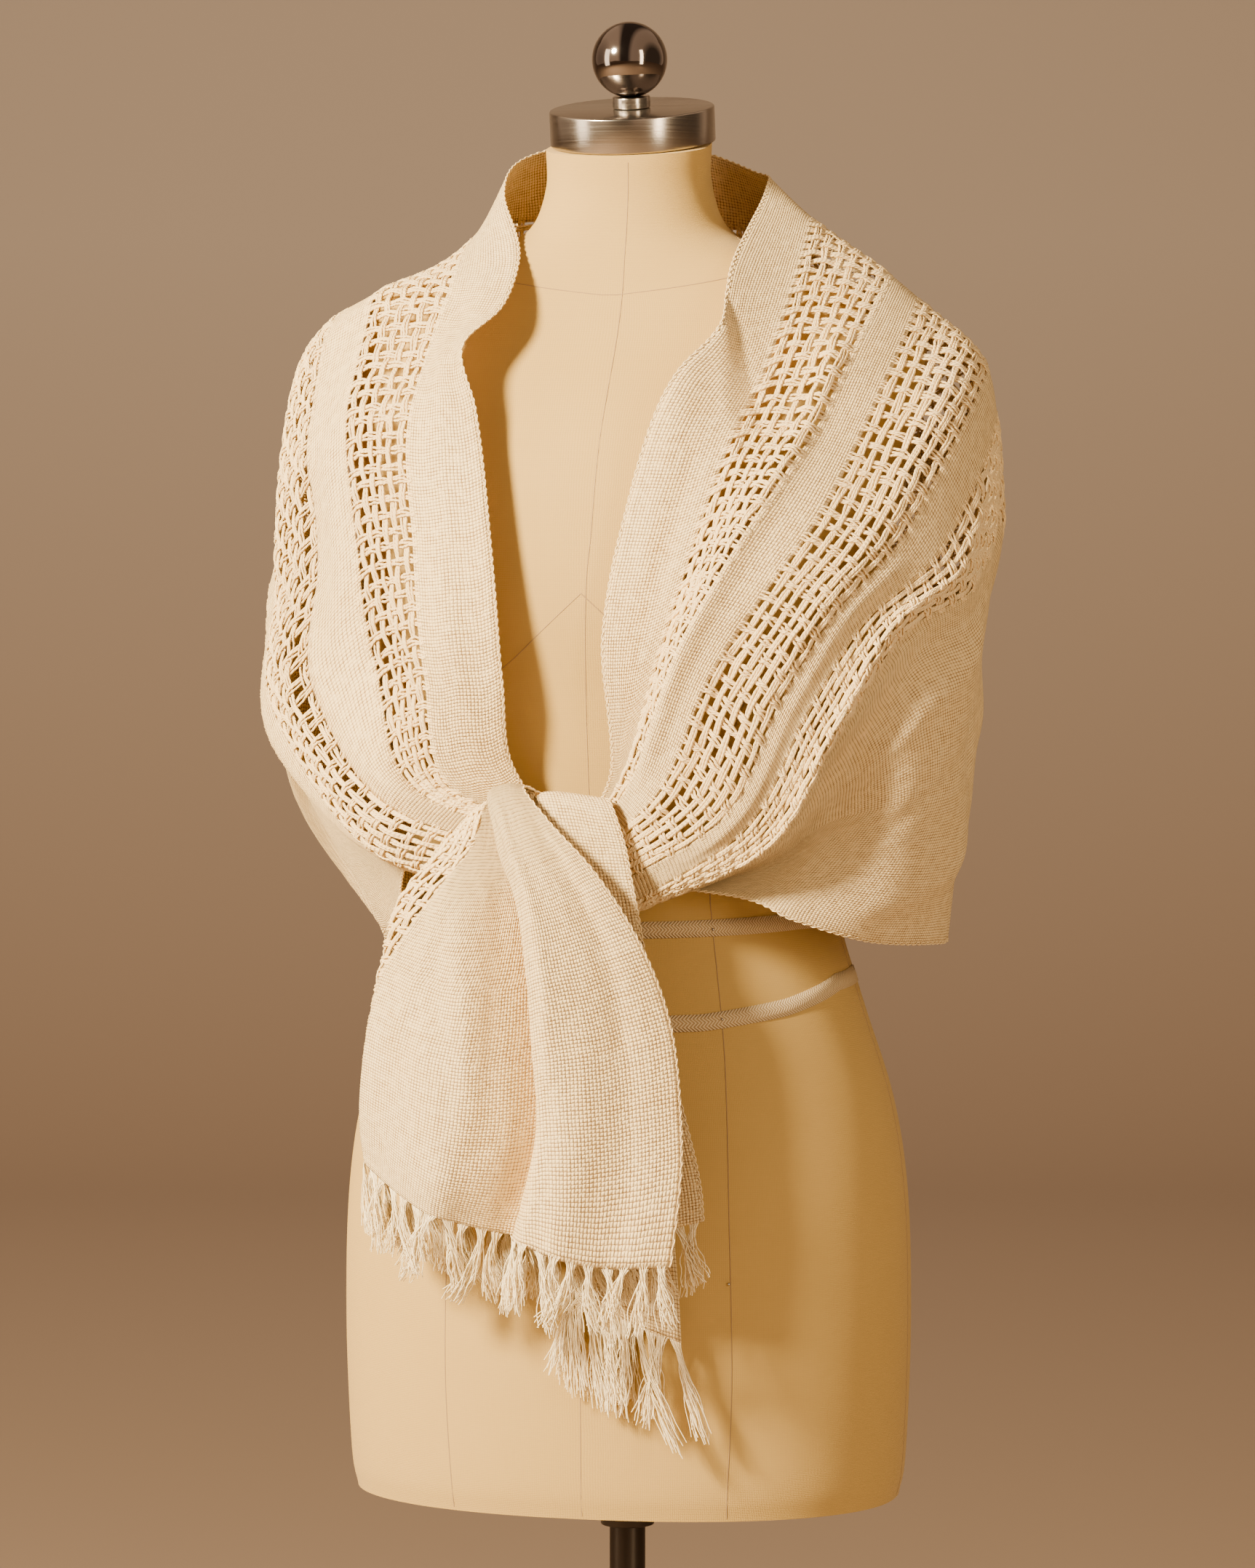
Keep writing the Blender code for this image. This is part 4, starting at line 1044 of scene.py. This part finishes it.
def fringe_paths(place, last_length, end_width, start_width, lean, seed, pitch, lock_length):
    """Plies of every lock along one fringed end."""
    locks = int(round(abs(end_width - start_width) / pitch))
    paths = []
    t = np.linspace(0, 1, PLY_POINTS)
    gathered = np.clip(t / 0.16, 0, 1)
    opened = np.clip((t - 0.14) / 0.5, 0, 1)
    opened = opened * opened * (3 - 2 * opened)
    for lock in range(locks):
        width = start_width + (lock + 0.5) * (end_width - start_width) / locks
        root = place(last_length - 1.5, width)
        beside = place(last_length - 1.5, width + 2.0)
        above = place(last_length - 14.0, width)
        side = beside - root
        side /= max(np.linalg.norm(side), 1e-9)
        fall = root - above
        fall = fall / max(np.linalg.norm(fall), 1e-9) + np.array((0.0, 0.0, -1.1))
        fall /= np.linalg.norm(fall)
        out = np.cross(side, fall)
        key = seed + lock
        reach = lock_length * MM * (1 + 0.16 * math.sin(2.3 * key) * math.cos(0.9 * key + 1))
        swing = lean + 0.2 * math.sin(1.7 * key) + 0.14 * math.sin(4.1 * key)
        bow = 0.13 * math.sin(3.1 * key)
        for ply in range(PLIES):
            share = (ply + 0.5) / PLIES
            turn = ply * 2.4 + key
            own_radius = math.sqrt(share)
            twist = turn + 2.6 * t
            root_place = ROOT_HALF * math.cos(turn) * own_radius
            neck = NECK_RADIUS * own_radius
            body = BODY_RADIUS * own_radius * (1 + 0.25 * math.sin(ply * 1.9 + key * 2.2))
            radius = neck + (body - neck) * opened
            crimp = CRIMP * gathered * np.sin(t * (17 + 3 * math.sin(ply * 1.3 + key)) + ply * 2.1)
            splay = SPLAY * math.sin(ply * 3.3 + key * 1.1) * opened * t
            aside = np.cos(twist) * radius * gathered + root_place * (1 - gathered) + crimp + splay
            forward = np.sin(twist) * radius * gathered * 0.62 + crimp * 0.6
            own = 1 + 0.08 * math.sin(ply * 1.7 + key * 0.7)
            line = root[None, :] + fall[None, :] * (reach * own * t)[:, None]
            line = line + side[None, :] * (reach * (swing * t**1.3 + bow * np.sin(math.pi * t)))[:, None]
            line = line + side[None, :] * (aside * MM)[:, None]
            line = line + out[None, :] * (forward * MM)[:, None]
            paths.append(line)
    return paths


front_paths = fringe_paths(
    place_tail, TAIL_FLAT, CLOTH_WIDTH, 0.0, 0.05, 3, LOCK_PITCH, LOCK_LENGTH
)
front_fringe = make_yarns("fringe_front", front_paths, PLY_DIAMETER, fringe_material)
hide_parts("front_fringe")
rear_paths = fringe_paths(
    place_rear, REAR_LENGTH, float(REAR_LINES[-1]), 0.0, -0.08, 70, REAR_LOCK_PITCH, REAR_LOCK_LENGTH
)
rear_fringe = make_yarns("fringe_rear", rear_paths, PLY_DIAMETER, fringe_material)
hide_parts("rear_fringe")
print("fringe triangles:", triangles(front_fringe), triangles(rear_fringe))

# %% [markdown]
# ### The crossing
# Inside the knot the two ends press on each other. Only a sliver of it can be seen between the
# tail and the fronts, so it is a small gathered bundle with the same cloth on it.

# %% Crossing
KNOT_CENTRE = (-9, -121, 806)
KNOT_RADII = (14.5, 14.6, 25.5)


def make_knot():
    bm = bmesh.new()
    uv_layer = bm.loops.layers.uv.new("flat cloth")
    bmesh.ops.create_uvsphere(bm, u_segments=48, v_segments=32, radius=1.0)
    for vert in bm.verts:
        angle = math.atan2(vert.co.y, vert.co.x)
        gather = 1.0 - 0.05 * (0.5 + 0.5 * math.sin(9 * angle + 3 * vert.co.z))
        radii = Vector(KNOT_RADII)
        spot = Vector((vert.co.x * radii.x * gather, vert.co.y * radii.y * gather, vert.co.z * radii.z))
        vert.co = (Vector(KNOT_CENTRE) + spot) * MM
    for face in bm.faces:
        for loop in face.loops:
            loop[uv_layer].uv = (loop.vert.co.z, loop.vert.co.x * 1.5)
    mesh = bpy.data.meshes.new("knot_crossing")
    bm.to_mesh(mesh)
    bm.free()
    piece = finish_piece("knot_crossing", mesh, cloth_material, ("knot",))
    return piece


knot = make_knot()
print("crossing faces:", len(knot.data.polygons))

# %% [markdown]
# ## The dress form
# The form is covered in tight beige linen, cut in panels whose seams run down the front, over
# the bust and round the neck. A grid is wrapped round the rings and its seam is merged, which
# gives even faces all over. The weave is fine, so it is a bump.


# %% Linen
def make_linen():
    material, tree, shader = start_material("linen cover", (0.53, 0.338, 0.093), 0.78)
    coordinates = tree.nodes.new("ShaderNodeTexCoord")
    flat = coordinates.outputs["UV"]
    solid = coordinates.outputs["Object"]
    weave = place_group(tree, weave_group, flat, Pitch=0.0011, Looseness=0.15)
    mottle = place_group(tree, mottle_group, solid, Scale=6.0)
    base = mix_colour(tree, mottle.outputs["Mask"], (0.50, 0.32, 0.085, 1.0), (0.56, 0.37, 0.11, 1.0))
    # Painted shade: the low parts of the linen weave are mixed towards a darker brown.
    low = math_node(tree, "SUBTRACT", 1.0, weave.outputs["Height"], clamp=True)
    base = mix_colour(tree, math_node(tree, "MULTIPLY", low, 0.2), base, (0.36, 0.21, 0.05, 1.0))
    tree.links.new(base, shader.inputs["Base Color"])
    bump_into(tree, shader, weave.outputs["Height"], 0.35, 0.0003)
    shader.inputs["Sheen Weight"].default_value = 0.12
    return material


linen = make_linen()


def make_form_cover():
    bm = bmesh.new()
    uv_layer = bm.loops.layers.uv.new("flat cloth")
    made = bmesh.ops.create_grid(bm, x_segments=144, y_segments=210, size=0.5)
    flat = {}
    for vert in made["verts"]:
        angle = (vert.co.x + 0.5) * 2 * math.pi + math.pi
        height = rings[0, 0] + (vert.co.y + 0.5) * (rings[-1, 0] - rings[0, 0])
        vert.co = Vector(form_point(height, angle)) * MM
        flat[vert] = (angle * 0.15, height * MM)
    for face in bm.faces:
        for loop in face.loops:
            loop[uv_layer].uv = flat[loop.vert]
    bmesh.ops.remove_doubles(bm, verts=bm.verts, dist=0.00002)
    rims = [edge for edge in bm.edges if edge.is_boundary]
    bmesh.ops.holes_fill(bm, edges=rims, sides=0)
    bmesh.ops.recalc_face_normals(bm, faces=bm.faces)
    mesh = bpy.data.meshes.new("form_cover")
    bm.to_mesh(mesh)
    bm.free()
    mesh.shade_smooth()
    mesh.set_sharp_from_angle(angle=math.radians(50))
    piece = finish_piece("form_cover", mesh, linen, ("form_body",), smooth=False)
    return piece


form_cover = make_form_cover()
print("form cover faces:", len(form_cover.data.polygons))

# %% [markdown]
# ### Seams, tapes and pins
# Each panel seam shows as a fine pressed line with thread in it, so it is a thin yarn half sunk
# in the cover. Two twill tapes are pinned round the waist and the hips, as a dressmaker does.

# %% Seams
SEAM_DIAMETER = 0.9
CENTRE_SEAM = ((1236, 8), (1147, 8), (1018, 6), (970, 3), (850, 0), (600, -1), (418, -2))
PRINCESS_SEAM = ((905, 92), (860, 76), (800, 70), (770, 71), (690, 81), (600, 86), (500, 88), (418, 84))
BUST_SEAM = ((970, 0), (950, 22), (930, 44), (916, 64), (907, 84), (904, 96))


def at_x(height, x, proud=0.0, back=False):
    """A point on the form at a height and a distance to one side."""
    half = np.interp(height, rings[:, 0], rings[:, 1])
    ratio = np.clip(np.abs(x) / half, 0, 1) ** (FORM_SQUARENESS / 2)
    angle = np.arcsin(ratio) * np.sign(x)
    if back:
        angle = math.pi - angle
    return form_point(height, angle, proud)


def seam_path(rows, side=1, sink=-0.15, back=False):
    table = np.array(rows, float)
    spots = np.linspace(0, len(table) - 1, 90)
    path = smooth_through(np.arange(len(table)), table, spots)
    return np.array([at_x(height, side * x, sink, back) for height, x in path]) * MM


def ring_path(heights, start, end, sink=-0.15, count=160):
    """A line round the form; heights is a row of angle in degrees and height."""
    table = np.array(heights, float)
    angles = np.linspace(start, end, count)
    levels = np.interp(np.degrees(angles), table[:, 0], table[:, 1])
    return form_point(levels, angles, sink) * MM


NECK_SEAM = ((-180, 1196), (-90, 1184), (-45, 1163), (0, 1147), (45, 1163), (90, 1184), (180, 1196))
seam_paths = [
    seam_path(CENTRE_SEAM),
    seam_path(CENTRE_SEAM, back=True),
    seam_path(PRINCESS_SEAM, 1),
    seam_path(PRINCESS_SEAM, -1),
    seam_path(PRINCESS_SEAM, 1, back=True),
    seam_path(PRINCESS_SEAM, -1, back=True),
    seam_path(BUST_SEAM, 1),
    seam_path(BUST_SEAM, -1),
    ring_path(NECK_SEAM, -math.pi, math.pi),
    form_point(np.linspace(418, 1120, 200), np.full(200, math.pi / 2), -0.15) * MM,
    form_point(np.linspace(418, 1120, 200), np.full(200, -math.pi / 2), -0.15) * MM,
]
seam_material, seam_tree, seam_shader = start_material("seam thread", (0.33, 0.22, 0.11), 0.8)
seam_noise = noise_node(seam_tree, seam_tree.nodes.new("ShaderNodeTexCoord").outputs["Object"], 900.0)
bump_into(seam_tree, seam_shader, seam_noise, 0.4, 0.0002)
seams = make_yarns("form_seams", seam_paths, SEAM_DIAMETER, seam_material)
print("seams:", len(seam_paths))

# %% Twill tapes
TAPE_WIDTH = 10.0
TAPE_THICKNESS = 0.5
WAIST_TAPE = ((-180, 768), (0, 768), (20, 769), (60, 772), (90, 772), (180, 768))
HIP_TAPE = ((-180, 722), (-60, 728), (0, 712), (25, 714), (50, 722), (75, 734), (95, 736), (180, 722))


def make_twill():
    material, tree, shader = start_material("twill tape", (0.62, 0.52, 0.38), 0.85)
    coordinates = tree.nodes.new("ShaderNodeTexCoord")
    split = tree.nodes.new("ShaderNodeSeparateXYZ")
    tree.links.new(coordinates.outputs["UV"], split.inputs[0])
    chevron = math_node(tree, "PINGPONG", split.outputs[1], TAPE_WIDTH * MM / 4)
    ribs = math_node(tree, "ADD", split.outputs[0], chevron)
    wave = math_node(tree, "SINE", math_node(tree, "MULTIPLY", ribs, 2 * math.pi / 0.0021))
    shade = math_node(tree, "MULTIPLY_ADD", wave, 0.5, 0.5)
    base = mix_colour(tree, shade, (0.40, 0.27, 0.13, 1.0), (0.78, 0.62, 0.38, 1.0))
    tree.links.new(base, shader.inputs["Base Color"])
    bump_into(tree, shader, wave, 0.6, 0.0003)
    return material


twill = make_twill()


def make_tape(name, heights):
    bm = bmesh.new()
    uv_layer = bm.loops.layers.uv.new("flat cloth")
    made = bmesh.ops.create_grid(bm, x_segments=240, y_segments=2, size=0.5)
    table = np.array(heights, float)
    flat = {}
    for vert in made["verts"]:
        angle = vert.co.x * 2 * math.pi
        across = vert.co.y * TAPE_WIDTH
        level = float(np.interp(math.degrees(angle), table[:, 0], table[:, 1])) + across
        vert.co = Vector(form_point(level, angle, 0.45 + 0.1 * math.cos(vert.co.y * math.pi))) * MM
        flat[vert] = (angle * 0.13, across * MM + 1.0)
    for face in bm.faces:
        for loop in face.loops:
            loop[uv_layer].uv = flat[loop.vert]
    bmesh.ops.remove_doubles(bm, verts=bm.verts, dist=0.00002)
    bmesh.ops.recalc_face_normals(bm, faces=bm.faces)
    mesh = bpy.data.meshes.new(name)
    bm.to_mesh(mesh)
    bm.free()
    piece = finish_piece(name, mesh, twill)
    wall = piece.modifiers.new("thickness", "SOLIDIFY")
    wall.thickness = TAPE_THICKNESS * MM
    wall.offset = 0.0
    return piece


tapes = [make_tape("waist_tape", WAIST_TAPE), make_tape("hip_tape", HIP_TAPE)]
print("tapes:", [tape.name for tape in tapes])

# %% Pins
PIN_HEAD = 0.9
pin_metal, pin_tree, pin_shader = start_material("pin steel", (0.5, 0.48, 0.45), 0.25, 1.0)
pin_noise = noise_node(pin_tree, pin_tree.nodes.new("ShaderNodeTexCoord").outputs["Object"], 300.0)
bump_into(pin_tree, pin_shader, pin_noise, 0.1, 0.0001)


def make_pins():
    bm = bmesh.new()
    for height, x in ((769, 71), (716, 78), (768, -72), (720, -80), (560, 86), (640, -84)):
        spot = Vector(at_x(height, x, 0.9)) * MM
        bmesh.ops.create_uvsphere(bm, u_segments=12, v_segments=8, radius=PIN_HEAD * MM, matrix=Matrix.Translation(spot))
    mesh = bpy.data.meshes.new("pins")
    bm.to_mesh(mesh)
    bm.free()
    piece = finish_piece("pins", mesh, pin_metal)
    return piece


pins = make_pins()
print("pin faces:", len(pins.data.polygons))

# %% [markdown]
# ## Metal parts
# The neck cap, the ball on top and the stand are turned on a lathe, so each is a profile that is
# spun round its axis. Brushed steel carries fine scratches that run round with the turning.


# %% Metals
def make_brushed(name, colour, roughness, strength):
    material, tree, shader = start_material(name, colour, roughness, 1.0)
    coordinates = tree.nodes.new("ShaderNodeTexCoord")
    stretch = tree.nodes.new("ShaderNodeMapping")
    stretch.inputs["Scale"].default_value = (6.0, 6.0, 900.0)
    tree.links.new(coordinates.outputs["Object"], stretch.inputs["Vector"])
    lines = noise_node(tree, stretch.outputs["Vector"], 1.0, 4.0, 0.6)
    bump_into(tree, shader, lines, strength, 0.0002)
    rough = math_node(tree, "MULTIPLY_ADD", lines, 0.25, roughness - 0.1)
    tree.links.new(rough, shader.inputs["Roughness"])
    return material


def make_smudged(name, colour, roughness, metallic):
    material, tree, shader = start_material(name, colour, roughness, metallic)
    solid = tree.nodes.new("ShaderNodeTexCoord").outputs["Object"]
    mottle = place_group(tree, mottle_group, solid, Scale=30.0)
    rough = math_node(tree, "MULTIPLY_ADD", mottle.outputs["Mask"], 0.12, roughness - 0.05)
    tree.links.new(rough, shader.inputs["Roughness"])
    return material


steel = make_brushed("brushed steel", (0.50, 0.46, 0.42), 0.2, 0.15)
chrome = make_smudged("dark chrome", (0.30, 0.265, 0.25), 0.07, 1.0)
dark_metal = make_smudged("dark metal", (0.045, 0.035, 0.028), 0.38, 0.7)


def turned(name, profile, material, node_names, centre=(0.0, 0.0, 0.0), tilt=0.0, steps=96):
    """Spin rows of radius and height round the axis, then lean the piece forwards."""
    bm = bmesh.new()
    spots = [bm.verts.new((radius * MM, 0.0, height * MM)) for radius, height in profile]
    lines = [bm.edges.new(pair) for pair in zip(spots[:-1], spots[1:])]
    bmesh.ops.spin(
        bm, geom=spots + lines, cent=(0, 0, 0), axis=(0, 0, 1), angle=2 * math.pi, steps=steps, use_merge=True
    )
    bmesh.ops.remove_doubles(bm, verts=bm.verts, dist=0.000005)
    rims = [edge for edge in bm.edges if edge.is_boundary]
    if rims:
        bmesh.ops.holes_fill(bm, edges=rims, sides=0)
    bmesh.ops.recalc_face_normals(bm, faces=bm.faces)
    lean = Matrix.Translation(Vector(centre) * MM) @ Matrix.Rotation(tilt, 4, "X")
    bmesh.ops.transform(bm, matrix=lean, verts=bm.verts)
    mesh = bpy.data.meshes.new(name)
    bm.to_mesh(mesh)
    bm.free()
    mesh.shade_smooth()
    mesh.set_sharp_from_angle(angle=math.radians(32))
    piece = finish_piece(name, mesh, material, node_names, smooth=False)
    return piece


def rounded(radius, low, high, edge, count=4):
    """The profile of a disc with both rims rounded."""
    rows = [(0.0, low)]
    for step in range(count + 1):
        angle = math.pi / 2 * step / count
        rows.append((radius - edge + edge * math.sin(angle), low + edge - edge * math.cos(angle)))
    for step in range(count + 1):
        angle = math.pi / 2 * step / count
        rows.append((radius - edge + edge * math.cos(angle), high - edge + edge * math.sin(angle)))
    rows.append((0.0, high))
    return rows


# %% Cap and ball
CAP_RADIUS = 50.5
CAP_HEIGHT = 21.6
JOINT_GAP = 0.3
BALL_RADIUS = 23.0
neck_top = (0.0, NECK_CENTRE_Y, FORM_RINGS[-1][0])
cap_high = JOINT_GAP + CAP_HEIGHT
cap = turned(
    "cap_turned", rounded(CAP_RADIUS, JOINT_GAP, cap_high, 1.2), steel, ("neck_cap",),
    neck_top, NECK_TILT, 128,
)
finial_low = cap_high + JOINT_GAP
finial = turned(
    "finial_turned", rounded(11.5, finial_low, finial_low + 7.0, 0.8), steel, ("finial_collar",),
    neck_top, NECK_TILT,
)
ball_rows = []
for step in range(37):
    angle = math.radians(-72.3 + (90.0 + 72.3) * step / 36)
    height = finial_low + 7.3 + math.sqrt(BALL_RADIUS**2 - 49.0)
    ball_rows.append((BALL_RADIUS * math.cos(angle), height + BALL_RADIUS * math.sin(angle)))
ball = turned("ball_turned", ball_rows, chrome, ("finial_ball",), neck_top, NECK_TILT)
print("cap and ball made")

# %% Stand
FORM_LOW = FORM_RINGS[0][0]
collar_low = FORM_LOW - JOINT_GAP - 23.0
collar = turned("collar_turned", rounded(16.5, collar_low, FORM_LOW - JOINT_GAP, 0.8), dark_metal, ("pole_collar",))
pole = turned("pole_turned", rounded(11.0, 14.3, collar_low - JOINT_GAP, 0.4), dark_metal, ("pole",))
base_rows = ((0.0, 0.0), (158.5, 0.0), (160.0, 1.5), (160.0, 6.5), (158.6, 9.2), (155.5, 11.4), (150.0, 13.2), (144.0, 14.0), (0.0, 14.0))
base = turned("base_turned", base_rows, dark_metal, ("base_plate",), steps=160)


def make_knob():
    bm = bmesh.new()
    rows = ((0.0, 16.8), (3.0, 16.8), (3.0, 19.8), (5.0, 20.3), (5.0, 26.8), (4.2, 27.8), (0.0, 27.8))
    spots = [bm.verts.new((reach * MM, 0.0, radius * MM)) for radius, reach in rows]
    lines = [bm.edges.new(pair) for pair in zip(spots[:-1], spots[1:])]
    bmesh.ops.spin(bm, geom=spots + lines, cent=(0, 0, 0), axis=(1, 0, 0), angle=2 * math.pi, steps=48, use_merge=True)
    bmesh.ops.remove_doubles(bm, verts=bm.verts, dist=0.000005)
    bmesh.ops.recalc_face_normals(bm, faces=bm.faces)
    knob_height = collar_low + 11.5
    bmesh.ops.translate(bm, verts=bm.verts, vec=(0.0, 0.0, knob_height * MM))
    mesh = bpy.data.meshes.new("knob_turned")
    bm.to_mesh(mesh)
    bm.free()
    mesh.shade_smooth()
    mesh.set_sharp_from_angle(angle=math.radians(32))
    piece = finish_piece("knob_turned", mesh, dark_metal, ("clamp_knob",), smooth=False)
    return piece


knob = make_knob()
print("stand made")

# %% [markdown]
# ## Studio
# The floor is one pale sheet that curves up far behind the form, so no line shows where floor
# and wall meet. Below 1.4 m its colour is painted darker towards the ground, as painted shade. A
# warm key light stands high on the viewer's left. A wide soft box beside it and a narrow one on
# the right are what the polished metal mirrors as bright bands.

# %% Floor
WALL_AWAY = 6.5
WALL_CURVE = 2.0
WALL_HEIGHT = 7.0
FLOOR_FRONT = -9.0
FLOOR_HALF_WIDTH = 9.0
WALL_COLOUR = (0.34, 0.27, 0.22)
# The colour at the ground is painted shade; the sheet fades from it up to the wall colour.
FLOOR_PAINTED_SHADE = (0.235, 0.165, 0.118)
SHADE_HEIGHT = 1.4


def floor_place(along):
    """How far back and how high the sheet is, after so many metres along it from its front edge."""
    flat = WALL_AWAY - WALL_CURVE - FLOOR_FRONT
    bend = WALL_CURVE * math.pi / 2
    if along <= flat:
        return FLOOR_FRONT + along, 0.0
    if along <= flat + bend:
        angle = (along - flat) / WALL_CURVE
        return WALL_AWAY - WALL_CURVE + WALL_CURVE * math.sin(angle), WALL_CURVE * (1 - math.cos(angle))
    return WALL_AWAY, WALL_CURVE + along - flat - bend


def make_floor():
    bm = bmesh.new()
    made = bmesh.ops.create_grid(bm, x_segments=2, y_segments=160, size=0.5)
    whole = WALL_AWAY - WALL_CURVE - FLOOR_FRONT + WALL_CURVE * math.pi / 2 + WALL_HEIGHT - WALL_CURVE
    for vert in made["verts"]:
        back, height = floor_place((vert.co.y + 0.5) * whole)
        vert.co = (vert.co.x * 2 * FLOOR_HALF_WIDTH, back, height)
    bmesh.ops.rotate(bm, verts=bm.verts, cent=(0, 0, 0), matrix=Matrix.Rotation(CAMERA_AZIMUTH, 3, "Z"))
    mesh = bpy.data.meshes.new("floor")
    bm.to_mesh(mesh)
    bm.free()
    mesh.shade_smooth()
    floor = bpy.data.objects.new("floor", mesh)
    bpy.context.scene.collection.objects.link(floor)
    material, tree, shader = start_material("pale floor", WALL_COLOUR, 0.9)
    split = tree.nodes.new("ShaderNodeSeparateXYZ")
    tree.links.new(tree.nodes.new("ShaderNodeTexCoord").outputs["Object"], split.inputs[0])
    # Painted shade: the sheet is darker low down and lightens up to the wall colour at 1.4 m.
    rise = math_node(tree, "MULTIPLY", split.outputs[2], 1 / SHADE_HEIGHT, clamp=True)
    shade = mix_colour(tree, rise, (*FLOOR_PAINTED_SHADE, 1.0), (*WALL_COLOUR, 1.0))
    tree.links.new(shade, shader.inputs["Base Color"])
    mesh.materials.append(material)
    return floor


floor = make_floor()
print("floor faces:", len(floor.data.polygons))


# %% Lights
def add_light(name, location, size, power, colour, aim):
    """An area light; size is its width and height in metres."""
    data = bpy.data.lights.new(name, "AREA")
    data.shape = "ELLIPSE" if size[0] == size[1] else "RECTANGLE"
    data.size = size[0]
    data.size_y = size[1]
    data.energy = power
    data.color = colour
    light = bpy.data.objects.new(name, data)
    light.location = location
    light.rotation_euler = (Vector(location) - Vector(aim)).to_track_quat("Z", "Y").to_euler()
    bpy.context.scene.collection.objects.link(light)
    return light


key_light = add_light("key", (-1.9, -2.4, 2.5), (0.7, 0.7), 600.0, (1.0, 0.82, 0.53), (0.0, 0.0, 0.95))
soft_box = add_light("soft box", (-2.7, -1.5, 1.5), (0.9, 2.2), 34.0, (1.0, 0.80, 0.55), (0.0, 0.0, 1.1))
strip_box = add_light("strip box", (2.3, -1.9, 1.5), (0.5, 2.2), 48.0, (1.0, 0.78, 0.50), (0.0, 0.0, 1.1))
wall_light = add_light("wall light", (-1.2, 2.6, 3.2), (1.6, 1.6), 45.0, (1.0, 0.86, 0.70), (-1.8, 6.5, 1.6))

world = bpy.data.worlds.new("studio")
bpy.context.scene.world = world
world.use_nodes = True
background = world.node_tree.nodes["Background"]
direction = world.node_tree.nodes.new("ShaderNodeTexCoord").outputs["Generated"]
sideways = world.node_tree.nodes.new("ShaderNodeSeparateXYZ")
world.node_tree.links.new(direction, sideways.inputs[0])
ramp = world.node_tree.nodes.new("ShaderNodeValToRGB")
across = math_node(world.node_tree, "MULTIPLY_ADD", sideways.outputs[0], 0.5, 0.5)
world.node_tree.links.new(across, ramp.inputs["Fac"])
ROOM_SHADES = (
    (0.0, (0.34, 0.22, 0.14)), (0.14, (0.80, 0.53, 0.33)), (0.30, (0.80, 0.53, 0.33)), (0.38, (0.07, 0.045, 0.03)),
    (0.56, (0.07, 0.045, 0.03)), (0.66, (0.62, 0.41, 0.26)), (0.86, (0.55, 0.36, 0.22)), (0.95, (0.10, 0.065, 0.04)),
)
for number, (spot, colour) in enumerate(ROOM_SHADES):
    stop = ramp.color_ramp.elements[0] if number == 0 else ramp.color_ramp.elements.new(spot)
    stop.position = spot
    stop.color = (*colour, 1.0)
ramp.color_ramp.elements.remove(ramp.color_ramp.elements[-1])
world.node_tree.links.new(ramp.outputs["Color"], background.inputs["Color"])
background.inputs["Strength"].default_value = 0.95
print("lights set")
